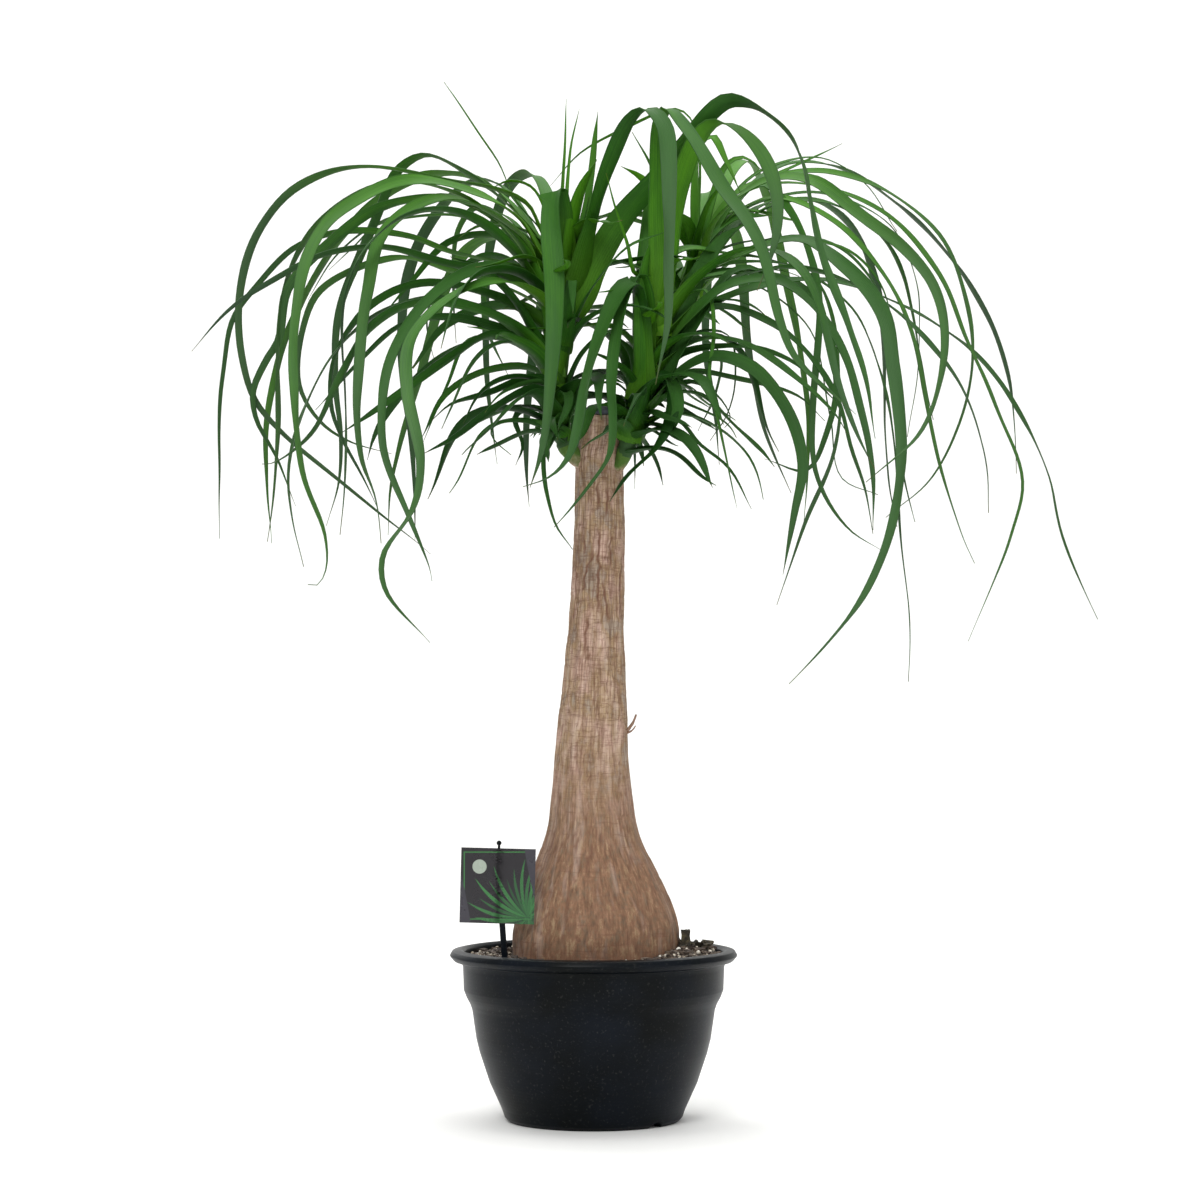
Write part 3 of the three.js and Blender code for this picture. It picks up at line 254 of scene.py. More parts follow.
# Arching leaves round a shoot: bearing, bend of the bearing, height of the root, length,
# rise at the root, width. Bearings in degrees from +X towards the back (+Y).
ARCHES = {
    "left": [
        (174, -6, 760, 610, 60, 12), (152, -8, 770, 660, 66, 12), (130, -6, 765, 640, 64, 13),
        (118, 8, 745, 560, 56, 12), (106, -6, 775, 560, 66, 12), (92, 6, 740, 430, 50, 13),
        (196, 8, 700, 470, 48, 11), (208, 0, 745, 520, 58, 11), (-150, 10, 690, 190, 50, 15),
        (-120, -8, 655, 165, 38, 16), (-60, -8, 668, 155, 45, 15), (-165, 6, 646, 150, 20, 14),
        (-100, 0, 642, 110, 15, 14), (178, 0, 650, 180, 30, 14), (-138, 8, 742, 235, 62, 15),
        (166, -6, 694, 260, 48, 14),
    ],
    "right": [
        (-12, 6, 720, 480, 50, 12), (-38, -8, 735, 420, 50, 12), (-60, 8, 668, 165, 45, 16),
        (-18, -8, 658, 175, 40, 16), (-40, 0, 640, 130, 18, 14), (12, 6, 648, 175, 30, 14),
        (-135, 8, 650, 120, 38, 14), (34, -8, 700, 220, 50, 14), (-8, 6, 690, 240, 52, 14),
        (120, 6, 676, 170, 44, 14),
    ],
    "back": [
        (86, 6, 800, 500, 62, 12), (73, -6, 770, 520, 54, 13), (60, 8, 805, 640, 66, 12),
        (48, -6, 775, 600, 56, 12), (36, 6, 795, 660, 62, 12), (24, -8, 760, 500, 50, 13),
        (100, 0, 770, 440, 52, 12), (14, 6, 790, 430, 58, 11), (176, 10, 658, 104, 34, 16),
        (196, -8, 674, 106, 28, 20), (164, 8, 664, 112, 50, 15), (182, 6, 694, 118, 34, 21),
    ],
}


class Shoot(Enum):
    """The three leafy shoots below the cut."""

    LEFT = "left"
    RIGHT = "right"
    BACK = "back"


class Face(Enum):
    """Which face of a blade a vertex lies on."""

    UPPER = 0.0
    UNDER = 1.0


# ---- helpers --------------------------------------------------------------------------


def linear(code: str) -> tuple[float, float, float, float]:
    """Turn an sRGB hex colour into a linear one.

    Args:
        code: The colour as "#rrggbb".

    Returns:
        Linear red, green, blue and an alpha of 1.
    """
    parts = [int(code[i:i + 2], 16) / 255 for i in (1, 3, 5)]
    return (*[p / 12.92 if p <= 0.04045 else ((p + 0.055) / 1.055) ** 2.4 for p in parts], 1.0)


def lerp(a: float, b: float, t: float) -> float:
    """Blend from a to b as t goes from 0 to 1."""
    return a + (b - a) * t


def clamp(value: float, low: float = 0.0, high: float = 1.0) -> float:
    """Keep a value between two others."""
    return max(low, min(high, value))


def draws(seed: int) -> Iterator[float]:
    """Seeded endless run of numbers from 0 to 1, the same on every machine."""
    state = float(seed)
    while True:
        state = math.fmod(state * 1103515245 + 12345, 2147483648)
        yield state / 2147483648


def rough(x: float, y: float, z: float) -> float:
    """Smooth noise from about -1 to 1 at a place."""
    return noise.noise(Vector((x, y, z)))


def run_lengths(points: list[Vector]) -> list[float]:
    """Length run from the first point to each point of a line."""
    runs = [0.0]
    for a, b in zip(points, points[1:]):
        runs.append(runs[-1] + (b - a).length)
    return runs


def attributes(bm: bmesh.types.BMesh, vector: str, colour: str) -> tuple[
        bmesh.types.BMLayerItem, bmesh.types.BMLayerItem]:
    """Find or make the attributes that a mesh's finish reads.

    Args:
        bm: The mesh.
        vector: Name of its vector attribute.
        colour: Name of its colour attribute.

    Returns:
        The two attributes' layers.
    """
    vectors, colours = bm.verts.layers.float_vector, bm.verts.layers.float_color
    return (vectors.get(vector) or vectors.new(vector), colours.get(colour) or colours.new(colour))


def linked(name: str, data: bpy.types.ID) -> bpy.types.Object:
    """Make an object of a mesh, light or camera and put it in the scene."""
    made = bpy.data.objects.new(name, data)
    bpy.context.scene.collection.objects.link(made)
    return made


def finished(bm: bmesh.types.BMesh, name: str, finish: "Finish", sharp: float = 40.0,
             recalculate: bool = True) -> bpy.types.Object:
    """Turn a bmesh in millimetres into a dressed piece in metres.

    Args:
        bm: The mesh, freed here.
        name: The piece's name.
        finish: What its faces are made of.
        sharp: Edges that turn more than this many degrees stay sharp.
        recalculate: Whether to turn all faces outwards.

    Returns:
        The new object, at the origin.
    """
    bmesh.ops.scale(bm, vec=(MM, MM, MM), verts=bm.verts)
    if recalculate:
        bmesh.ops.recalc_face_normals(bm, faces=bm.faces)
    mesh = bpy.data.meshes.new(name)
    bm.to_mesh(mesh)
    bm.free()
    mesh.shade_smooth()
    mesh.set_sharp_from_angle(angle=math.radians(sharp))
    mesh.materials.append(finish.material())
    return linked(name, mesh)


def turned(bm: bmesh.types.BMesh, profile: list[tuple[float, float]], steps: int,
           rounding: float = 0.0, segments: int = 2) -> list[bmesh.types.BMVert]:
    """Spin a profile about the Z axis into a closed skin.

    Args:
        bm: The mesh to add to.
        profile: Radius and height of its corners, from axis to axis.
        steps: Number of steps round.
        rounding: Radius of the rounded corners, 0 for none.
        segments: Number of segments in each rounded corner.

    Returns:
        The skin's vertices.
    """
    before = set(bm.verts)
    corners = [bm.verts.new((r, 0, z)) for r, z in profile]
    wire = [bm.edges.new(pair) for pair in zip(corners, corners[1:])]
    if rounding:
        bmesh.ops.bevel(bm, geom=corners[1:-1], offset=rounding, offset_type="OFFSET",
                        segments=segments, profile=0.5, affect="VERTICES", material=-1,
                        clamp_overlap=True)
    verts = [v for v in bm.verts if v not in before]
    wire = [e for e in bm.edges if not e.link_faces and e.verts[0] not in before]
    bmesh.ops.spin(bm, geom=verts + wire, cent=(0, 0, 0), axis=(0, 0, 1), dvec=(0, 0, 0),
                   angle=2 * math.pi, steps=steps, use_merge=True)
    bmesh.ops.remove_doubles(bm, verts=[v for v in bm.verts if v not in before], dist=1e-4)
    return [v for v in bm.verts if v not in before]


def tube(bm: bmesh.types.BMesh, line: list[Vector], radii: list[float],
         sides: int) -> list[bmesh.types.BMVert]:
    """Wrap a grid round a line of points into a closed bar.

    Args:
        bm: The mesh to add to.
        line: The middle line.
        radii: Radius at each point of the line.
        sides: Number of sides.

    Returns:
        The bar's vertices.
    """
    rows = len(line) - 1
    grid = bmesh.ops.create_grid(bm, x_segments=sides, y_segments=rows, size=1.0)["verts"]
    for vert in grid:
        row = round((vert.co.y + 1) / 2 * rows)
        turn = math.pi * (vert.co.x + 1)
        ahead = (line[min(rows, row + 1)] - line[max(0, row - 1)]).normalized()
        right = ahead.cross(Vector((0.31, 0.95, 0.02))).normalized()
        up = right.cross(ahead)
        vert.co = line[row] + radii[row] * (math.cos(turn) * right + math.sin(turn) * up)
    faces = {f for v in grid for f in v.link_faces}
    bmesh.ops.remove_doubles(bm, verts=grid, dist=1e-5)
    verts = list({v for f in faces if f.is_valid for v in f.verts})
    rim = list({e for v in verts for e in v.link_edges if e.is_boundary})
    bmesh.ops.holes_fill(bm, edges=rim, sides=0)
    return verts


def smooth_line(points: list[tuple[float, float, float] | Vector], count: int) -> list[Vector]:
    """Points along the centripetal curve through a leaf's or shoot's points.

    Args:
        points: The points it passes.
        count: Number of steps, even in the curve's own measure.

    Returns:
        One more point than there are steps.
    """
    points = [Vector(p) for p in points]
    made = []
    last = len(points) - 1
    for k in range(count + 1):
        place = k / count * last
        i = min(int(place), last - 1)
        t = place - i
        p1, p2 = points[i], points[i + 1]
        p0 = points[i - 1] if i > 0 else 2 * p1 - p2
        p3 = points[i + 2] if i + 2 <= last else 2 * p2 - p1
        d0, d1, d2 = (max(1e-4, (b - a).length ** 0.5) for a, b in ((p0, p1), (p1, p2), (p2, p3)))
        m1 = ((p1 - p0) / d0 - (p2 - p0) / (d0 + d1) + (p2 - p1) / d1) * d1
        m2 = ((p2 - p1) / d1 - (p3 - p1) / (d1 + d2) + (p3 - p2) / d2) * d1
        made.append(p1 + m1 * t + (3 * (p2 - p1) - 2 * m1 - m2) * t ** 2
                    + (2 * (p1 - p2) + m1 + m2) * t ** 3)
    return made


# ---- finishes -------------------------------------------------------------------------


@dataclass
class Nodes:
    """The shader nodes of one material."""

    tree: bpy.types.NodeTree

    def feed(self, socket: bpy.types.NodeSocket, value: object) -> None:
        """Link another node's output to an input, or set the input to a number or hex colour."""
        if isinstance(value, bpy.types.NodeSocket):
            self.tree.links.new(value, socket)
        else:
            socket.default_value = linear(value) if isinstance(value, str) else value

    def add(self, kind: str, *values: object, stops: list[tuple[float, str]] | None = None,
            out: int | str = 0, **named: object) -> bpy.types.NodeSocket:
        """Add a node with its settings and links.

        Args:
            kind: The node's type, without its "ShaderNode" prefix.
            values: Its inputs in order; None leaves one as it is.
            stops: Places and hex colours of a colour ramp.
            out: Which of its outputs is wanted.
            named: Inputs, by their capitalised names, and the node's own settings.

        Returns:
            The wanted output.
        """
        made = self.tree.nodes.new("ShaderNode" + kind)
        inputs = {i: value for i, value in enumerate(values) if value is not None}
        for name, value in named.items():
            if name[0].isupper():
                inputs[name] = value
            else:
                setattr(made, name, value)
        for name, value in inputs.items():
            self.feed(made.inputs[name], value)
        if stops:
            ramp = made.color_ramp.elements
            while len(ramp) < len(stops):
                ramp.new(0.5)
            for element, (place, code) in zip(ramp, stops):
                element.position, element.color = place, linear(code)
        return made.outputs[out]

    def over(self, colour: object, *layers: tuple[object, object],
             blend: str = "MIX") -> bpy.types.NodeSocket:
        """Lay colours over one another.

        Args:
            colour: The lowest one.
            layers: How much each next one covers, and that colour.
            blend: How they are laid.

        Returns:
            The colour of the whole.
        """
        for cover, top in layers:
            # a colour mix takes its two colours at its seventh and eighth inputs
            colour = self.add("Mix", cover, *[None] * 5, colour, top, data_type="RGBA",
                              blend_type=blend, out=2)
        return colour

    def total(self, start: object, *terms: tuple[object, float]) -> bpy.types.NodeSocket:
        """Add up a start and some values, each times its weight."""
        for value, weight in terms:
            start = self.add("Math", value, weight, start, operation="MULTIPLY_ADD")
        return start

    def close(self, colour: object, rough: object, height: object = None,
              strength: float = 0.0, deep_mm: float = 0.0, **gloss: float) -> None:
        """Feed the material's shader.

        Args:
            colour: Hex colour or output.
            rough: Roughness, a number or an output.
            height: What the bump reads.
            strength: How strong the bump is.
            deep_mm: How deep it stands for, in millimetres.
            gloss: IOR and specular level, where they aren't the usual ones.
        """
        found = {"Base Color": colour, "Roughness": rough}
        found |= {name.replace("_", " "): value for name, value in gloss.items()}
        if height is not None:
            found["Normal"] = self.add("Bump", Strength=strength, Distance=deep_mm * MM,
                                       Height=height)
        for name, value in found.items():
            self.feed(self.tree.nodes["Principled BSDF"].inputs[name], value)


@dataclass(frozen=True)
class Finish:
    """A surface, named for the real material it is made of."""

    name: str

    def dress(self, nodes: Nodes) -> None:
        """Lay the pattern on the shader; each finish has its own."""

    def material(self) -> bpy.types.Material:
        """Make the material once, and give the same one after that."""
        made = bpy.data.materials.get(self.name)
        if made is None:
            made = bpy.data.materials.new(self.name)
            made.use_nodes = True
            self.dress(Nodes(made.node_tree))
        return made


@dataclass(frozen=True)
class Polypropylene(Finish):
    """Injection-moulded polypropylene filled with carbon black.

    A satin, faintly blue black with a fine moulded grain, soft wide highlights, wide clouds of
    painted bluish sheen, and specks of dust and dried soil that cling to it.
    """

    colour: str = "#030607"
    # a lighter bluish black, laid in wide clouds as painted sheen
    painted_sheen: str = "#0a1018"
    dust: str = "#4a4a46"
    grain_mm: float = 1.2                # drawn coarser than the real 0.2 mm so that it shows
    ring_mm: float = 3.1

    def dress(self, nodes: Nodes) -> None:
        """Clouds of painted bluish sheen on the black, dust specks, and a bump of grain and
        turning rings.
        """
        add = nodes.add
        place = add("TexCoord", out="Object")
        cloud = add("TexNoise", Vector=place, Scale=METRE / 60, Detail=3.0)
        specks = add("TexNoise", Vector=place, Scale=METRE / 2.4, Detail=2.0)
        # the clouds lay painted sheen over the black
        base = add("ValToRGB", cloud, stops=[(0.35, self.colour), (0.7, self.painted_sheen)])
        dusty = add("MapRange", specks, 0.6, 0.8, None, 0.3)
        rings = add("Math", add("SeparateXYZ", place, out=2),
                    2 * math.pi * METRE / self.ring_mm, operation="MULTIPLY")
        rings = add("Math", rings, operation="SINE")
        grain = add("TexNoise", Vector=place, Scale=METRE / self.grain_mm)
        nodes.close(nodes.over(base, (dusty, self.dust)),
                    add("MapRange", cloud, None, None, 0.3, 0.46),
                    nodes.total(grain, (rings, 0.18)), 0.35, 0.15,
                    IOR=1.49, Specular_IOR_Level=0.1)


@dataclass(frozen=True)
class BarkFines(Finish):
    """Screened fine bark and peat, the body of the potting mix.

    Damp dark brown crumbs with paler broken fibres, quite matte.
    """

    dark: str = "#1a1612"
    middle: str = "#3b3229"
    pale: str = "#75695b"

    def dress(self, nodes: Nodes) -> None:
        """Crumbs of two sizes, a few of them pale, with a strong bump."""
        add = nodes.add
        place = add("TexCoord", out="Object")
        crumbs = add("TexVoronoi", Vector=place, Scale=METRE / 3.2, out="Color")
        fine = add("TexNoise", Vector=place, Scale=METRE / 1.6, Detail=6.0)
        both = nodes.total(fine, (add("SeparateXYZ", crumbs), 0.5))
        colour = add("ValToRGB", both,
                     stops=[(0.35, self.dark), (0.72, self.middle), (0.98, self.pale)])
        nodes.close(colour, 0.92, both, 0.9, 1.2)


@dataclass(frozen=True)
class BarkChips(Finish):
    """Composted pine bark chips: layered, red-brown to grey, matte."""

    dark: str = "#1f1813"
    middle: str = "#4a3d34"
    pale: str = "#807263"

    def dress(self, nodes: Nodes) -> None:
        """Each chip has its own brown, streaked by its layers."""
        add = nodes.add
        place = add("TexCoord", out="Object")
        patch = add("TexNoise", Vector=place, Scale=METRE / 9)
        streaks = add("TexNoise", Vector=add("Mapping", Vector=place, Scale=(1, 1, 4)),
                      Scale=METRE / 2.5, Detail=5.0)
        colour = add("ValToRGB", add("Mix", 0.4, None, patch, streaks),
                     stops=[(0.38, self.dark), (0.5, self.middle), (0.64, self.pale)])
        nodes.close(colour, 0.85, streaks, 0.6, 0.6)


@dataclass(frozen=True)
class Perlite(Finish):
    """Expanded perlite: chalky white crumbs full of tiny pores."""

    white: str = "#e6e2d8"
    stained: str = "#b8ac97"

    def dress(self, nodes: Nodes) -> None:
        """White with soil stains and a pitted bump."""
        place = nodes.add("TexCoord", out="Object")
        stain = nodes.add("TexNoise", Vector=place, Scale=METRE / 7, Detail=3.0)
        pores = nodes.add("TexVoronoi", Vector=place, Scale=METRE / 0.9)
        colour = nodes.add("ValToRGB", stain, stops=[(0.4, self.stained), (0.6, self.white)])
        nodes.close(colour, 0.95, pores, 0.5, 0.3)


@dataclass(frozen=True)
class TrunkBark(Finish):
    """Thin corky bark of an old stem: fibrous, pinkish beige, split by red-brown furrows.

    The "grain" attribute unrolls the surface (millimetres round, round, up), so the fibres
    run up the stem and fan out over the swollen foot. "relief" holds how deep the modelled
    furrow is, and how green the young bark of a shoot's foot is.
    """

    furrow: str = "#6b4735"
    high: tuple[str, ...] = ("#a39585", "#a68d6c", "#b89f89", "#c4a797")
    low: tuple[str, ...] = ("#7a6753", "#876a51", "#8f6a51", "#9c8264")
    fibre: tuple[str, ...] = ("#9c8b7d", "#dcd3cb", "#ffffff")
    pale: str = "#cbb7aa"
    green: str = "#3f6114"
    # each noise's size round and up the stem in millimetres, then its detail and roughness
    sizes: tuple[tuple[float, float, float, float], ...] = (
        (22, 34, 4, 0.6), (3, 13, 6, 0.75), (1.3, 15, 5, 0.7), (2, 30, 5, 0.6),
        (6, 62, 3, 0.55), (34, 4.2, 3, 0.55), (7, 17, 6, 0.65), (14, 2.6, 4, 0.6))

    def line(self, nodes: Nodes, source: bpy.types.NodeSocket, thin: float, amount: float,
             mask: bpy.types.NodeSocket) -> bpy.types.NodeSocket:
        """Thin wandering lines where a noise passes its middle.

        Args:
            nodes: The material's nodes.
            source: The noise.
            thin: Half the line's width, in the noise's own measure.
            amount: How strong the line is.
            mask: Where the lines show.

        Returns:
            How much each place belongs to a line.
        """
        off = nodes.add("Math", source, 0.5, operation="SUBTRACT")
        off = nodes.add("Math", off, operation="ABSOLUTE")
        off = nodes.add("MapRange", off, thin, 0.2 * thin, None, amount)
        return nodes.add("Math", off, mask, operation="MULTIPLY")

    def dress(self, nodes: Nodes) -> None:
        """Columns of pale cork between red-brown lines above, matted fibres below."""
        add = nodes.add
        grain = add("Attribute", attribute_name="grain", out="Vector")
        relief = add("Attribute", attribute_name="relief", out="Color")
        depth, young, _ = add("SeparateColor", relief).node.outputs
        patch, spots, spread, fibres, columns, rings, scars, checks = (
            add("TexNoise", Vector=add("Mapping", Vector=grain,
                                       Scale=(1 / wide, 1 / wide, 1 / tall)),
                Scale=1.0, Detail=detail, Roughness=rough)
            for wide, tall, detail, rough in self.sizes)
        foot = add("MapRange", add("SeparateXYZ", grain, out=2), 280.0, 130.0,
                   interpolation_type="SMOOTHSTEP")
        upper = add("Math", 1.0, foot, operation="SUBTRACT")
        above = add("ValToRGB", patch, stops=list(zip((0.38, 0.46, 0.54, 0.62), self.high)))
        below = add("ValToRGB", spots, stops=list(zip((0.38, 0.46, 0.53, 0.6), self.low)))
        hairs = add("Mix", foot, None, fibres, spread)
        streak = add("ValToRGB", hairs, stops=list(zip((0.34, 0.5, 0.64), self.fibre)))
        colour = nodes.over(nodes.over(above, (foot, below)), (0.85, streak),
                            blend="MULTIPLY")
        swell = add("MapRange", columns, 0.54, 0.7, None, 0.3)
        scar = add("Math", add("MapRange", scars, 0.54, 0.7, None, 0.4), upper,
                   operation="MULTIPLY")
        seam = self.line(nodes, columns, 0.024, 0.45, upper)
        ring = self.line(nodes, rings, 0.03, 0.42, upper)
        check = add("MapRange", checks, 0.42, 0.34, None, 0.4)
        colour = nodes.over(colour, (swell, self.pale), (scar, self.pale),
                            *[(mark, self.furrow) for mark in (seam, ring, check, depth)],
                            (young, self.green))
        seams = add("Math", seam, ring, operation="ADD")
        height = nodes.total(hairs, (scars, 0.8), (check, -0.5), (seams, -0.8))
        nodes.close(colour, add("MapRange", scars, None, None, 0.9, 0.68), height, 0.8, 0.7)


@dataclass(frozen=True)
class SealingWax(Finish):
    """Brushed-on pruning wax: thick, dark blue-grey and glossy, with brush ripples."""

    dark: str = "#23282e"
    light: str = "#444c55"

    def dress(self, nodes: Nodes) -> None:
        """Slow clouds of grey and soft ripples."""
        cloud = nodes.add("TexNoise", Vector=nodes.add("TexCoord", out="Object"),
                          Scale=METRE / 9, Detail=4.0)
        colour = nodes.add("ValToRGB", cloud, stops=[(0.35, self.dark), (0.7, self.light)])
        nodes.close(colour, nodes.add("MapRange", cloud, None, None, 0.2, 0.42), cloud,
                    0.5, 0.8, IOR=1.45)


@dataclass(frozen=True)
class StrapLeaf(Finish):
    """Waxy cuticle of a tough strap leaf.

    Satin green with fine parallel veins, paler where it clasps the shoot and underneath,
    greyer and bluer along its hanging part, partly as older leaves are and partly as painted
    sheen, and brown at the driest tips. "blade" holds the place across (-1 to 1), the length
    from the root and the full width in millimetres; "growth" holds the place along, how bright
    the leaf is (partly painted shade), a draw of its own, and which face it is.
    """

    dark: str = "#153a0d"
    middle: str = "#25540f"
    bright: str = "#467e12"
    # grey-blue of the hanging part: partly older leaves' own colour, partly painted sheen
    blue: str = "#354636"
    base: str = "#53841a"
    tip: str = "#5c4a28"
    underside: str = "#446e36"
    vein_mm: float = 1.5                 # drawn coarser than the real 0.4 mm so that it shows

    def dress(self, nodes: Nodes) -> None:
        """Leaf by leaf green, streaked along the blade, with veins in the bump."""
        add = nodes.add
        blade = add("Attribute", attribute_name="blade", out="Vector")
        growth = add("Attribute", attribute_name="growth", out="Color")
        under = growth.node.outputs["Alpha"]
        across, run, width = add("SeparateXYZ", blade).node.outputs
        along, shade, draw = add("SeparateColor", growth).node.outputs
        place = add("Math", across, width, operation="MULTIPLY")
        lot = add("Math", draw, 500.0, operation="MULTIPLY")
        way = add("CombineXYZ", place, run, lot)
        streaks, clouds = (
            add("TexNoise", Vector=add("Mapping", Vector=way, Scale=(1 / wide, 1 / tall, 1)),
                Scale=1.0, Detail=detail)
            for wide, tall, detail in ((2.2, 120, 4.0), (30, 55, 2.0)))
        veins = add("Math", place, math.pi / self.vein_mm, operation="MULTIPLY")
        veins = add("Math", veins, operation="SINE")
        tone = nodes.total(shade, (streaks, 0.5), (clouds, 0.5), (veins, 0.03))
        tone = add("Math", tone, 0.5, operation="SUBTRACT")
        colour = add("ValToRGB", tone,
                     stops=[(0.1, self.dark), (0.5, self.middle), (0.95, self.bright)])
        rim = add("Math", across, operation="ABSOLUTE")
        rim = add("MapRange", rim, 0.8, 1.0, None, 0.5)
        # each leaf's share of the grey-blue: partly age, partly painted sheen
        age_and_sheen = add("MapRange", draw, None, None, 0.45, 0.9)
        hung = add("MapRange", run, 140.0, 380.0, interpolation_type="SMOOTHSTEP")
        pale = add("MapRange", along, 0.22, 0.02, interpolation_type="SMOOTHSTEP")
        dry = add("MapRange", along, 0.95, 1.0, None, 0.8)
        hung, pale, dry, back = (
            add("Math", *pair, operation="MULTIPLY")
            for pair in ((age_and_sheen, hung), (pale, shade), (dry, draw), (under, 0.3)))
        colour = nodes.over(colour, (rim, self.dark), (hung, self.blue), (pale, self.base),
                            (dry, self.tip), (back, self.underside))
        nodes.close(colour, add("MapRange", clouds, None, None, 0.46, 0.62),
                    nodes.total(streaks, (veins, 0.5)), 0.45, 0.25,
                    IOR=1.4, Specular_IOR_Level=0.16)


@dataclass(frozen=True)
class PrintedCard(Finish):
    """Offset-printed card under a gloss film.

    Charcoal with a fan of green strap leaves from one corner, a pale disc and a thin green
    frame on the front; the back is plain. Places are x and z in millimetres.
    """

    ground: str = "#1c191e"
    leaf: str = "#34713a"
    deep: str = "#173a22"
    disc: str = "#9aa598"
    back: str = "#34323a"
    corner: tuple[float, float] = (-60.5, 193.0)
    sun: tuple[float, float] = (-105.0, 240.0)
    sun_radius: float = 6.5
    frame_half: float = 30.8
    leaves: int = 17

    def dress(self, nodes: Nodes) -> None:
        """Leaf fan in polar measure round the corner, disc and frame by distance."""
        add = nodes.add
        place = add("TexCoord", out="Object")
        x, y, z = add("SeparateXYZ", add("VectorMath", place, (METRE, METRE, METRE),
                                         operation="MULTIPLY")).node.outputs
        corner, sun, middle = (
            [add("Math", axis, at, operation="SUBTRACT") for axis, at in zip((x, z), spot)]
            for spot in (self.corner, self.sun, (LABEL_X, LABEL_Z)))
        far, sun = (add("VectorMath", add("CombineXYZ", *way), operation="LENGTH", out="Value")
                    for way in (corner, sun))
        turn = add("Math", corner[1], corner[0], operation="ARCTAN2")
        bow = nodes.total(turn, (far, 0.006))
        spread = add("Math", bow, self.leaves / math.pi, operation="MULTIPLY")
        off = add("Math", spread, operation="FRACT")
        off = add("Math", off, 0.5, operation="SUBTRACT")
        off = add("Math", off, operation="ABSOLUTE")
        own = add("TexWhiteNoise", W=add("Math", spread, operation="FLOOR"),
                  noise_dimensions="1D", out="Value")
        fill = add("Math", far, add("MapRange", own, None, None, 38.0, 62.0),
                   operation="DIVIDE")
        fill = add("Math", 1.0, fill, operation="SUBTRACT")
        wide = add("Math", fill, 0.62, operation="MULTIPLY")
        inside = add("Math", wide, off, operation="GREATER_THAN")
        green = nodes.over(self.deep, (own, self.leaf))
        sun = add("Math", sun, self.sun_radius, operation="LESS_THAN")
        edge = add("Math", *[add("Math", way, operation="ABSOLUTE") for way in middle],
                   operation="MAXIMUM")
        border = add("Math", edge, self.frame_half, 0.5, operation="COMPARE")
        printed = nodes.over(self.ground, (sun, self.disc), (inside, green),
                             (border, self.leaf))
        front = add("Math", y, LABEL_Y, operation="LESS_THAN")
        wave = add("TexNoise", Vector=place, Scale=METRE / 14)
        nodes.close(nodes.over(self.back, (front, printed)),
                    add("MapRange", wave, None, None, 0.22, 0.34), wave, 0.12, 0.4)


@dataclass(frozen=True)
class StudioPaper(Finish):
    """Seamless paper, white and quite matte."""

    colour: str = "#f4f4f2"

    def dress(self, nodes: Nodes) -> None:
        """One even tone."""
        nodes.close(self.colour, 0.9)


# ---- sub-assemblies -------------------------------------------------------------------


def place_piece(piece: bpy.types.Object, slot: str, *nodes: str) -> None:
    """Let a piece ride on the body, and hide the solids it stands for.

    Args:
        piece: The finished piece.
        slot: The record's material slot; not used.
        nodes: Names of the solids it replaces.
    """
    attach(piece, "root")
    if nodes:
        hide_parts(*nodes)
    piece.data.calc_loop_triangles()
    LOG.info("%s: %d triangles", piece.name, len(piece.data.loop_triangles))


@dataclass
class Pot:
    """Nursery pot: rolled lip, straight collar, stepped tapering wall and a foot ring."""

    steps: int = 176
    rounding: float = 0.9
    notch_radius: float = 9.0
    notch_sink: float = 3.5
    notch_bearings: tuple[float, float] = (-45.0, 135.0)
    drain_radius: float = 5.5
    drain_ring: float = 46.0
    drain_count: int = 6
    finish: Finish = Polypropylene("moulded_black_polypropylene")

    def profile(self) -> list[tuple[float, float]]:
        """Radius and height from the underside's middle round the lip to the inside floor."""
        return [
            (0, 0), (22, 0), (24, 4), (70, 4), (72, 0), (80, 0), (83.4, 3.5), (86, 11),
            (97.4, 36), (106.8, 64), (110, 77), (113.8, 103.5), (115.7, 109), (119, 115),
            (121.8, 122), (122.5, 143), (123.5, 147.5), (131, 149.2), (RIM_RADIUS, 154),
            (132.4, 158.6), (125, RIM_TOP), (121, 157.4), (119.6, 123), (113.2, 110),
            (111.4, 103.5), (107.6, 77), (104.4, 64), (95, 36), (82.4, 11), (79, FLOOR_TOP),
            (0, FLOOR_TOP)]

    def cutters(self) -> bpy.types.Object:
        """Build the bars that cut the foot's notches and the drain holes."""
        bm = bmesh.new()
        lay = Matrix.Translation((86, 0, -self.notch_sink)) @ Matrix.Rotation(math.pi / 2, 4, "Y")
        bars = [(math.radians(bearing), 40, self.notch_radius, 40, lay)
                for bearing in self.notch_bearings]
        bars += [(2 * math.pi * (i + 0.5) / self.drain_count, 24, self.drain_radius, 12,
                  Matrix.Translation((self.drain_ring, 0, 6))) for i in range(self.drain_count)]
        for turn, segments, radius, depth, at in bars:
            bmesh.ops.create_cone(bm, cap_ends=True, segments=segments, radius1=radius,
                                  radius2=radius, depth=depth,
                                  matrix=Matrix.Rotation(turn, 4, "Z") @ at)
        return finished(bm, "pot_cutters", self.finish)

    def build(self) -> None:
        """Spin the wall, cut it and dress it."""
        bm = bmesh.new()
        turned(bm, self.profile(), self.steps, self.rounding, 3)
        shell = finished(bm, "pot_shell", self.finish, 30)
        cutters = self.cutters()
        cut = shell.modifiers.new("cut", "BOOLEAN")
        cut.operation, cut.solver, cut.object = "DIFFERENCE", "EXACT", cutters
        bpy.context.view_layer.update()
        mesh = bpy.data.meshes.new_from_object(
            shell.evaluated_get(bpy.context.evaluated_depsgraph_get()))
        mesh.set_sharp_from_angle(angle=math.radians(32))
        piece = linked("nursery_pot", mesh)
        for spare in (shell, cutters):
            bpy.data.objects.remove(spare)
        place_piece(piece, "pot_plastic", "pot")


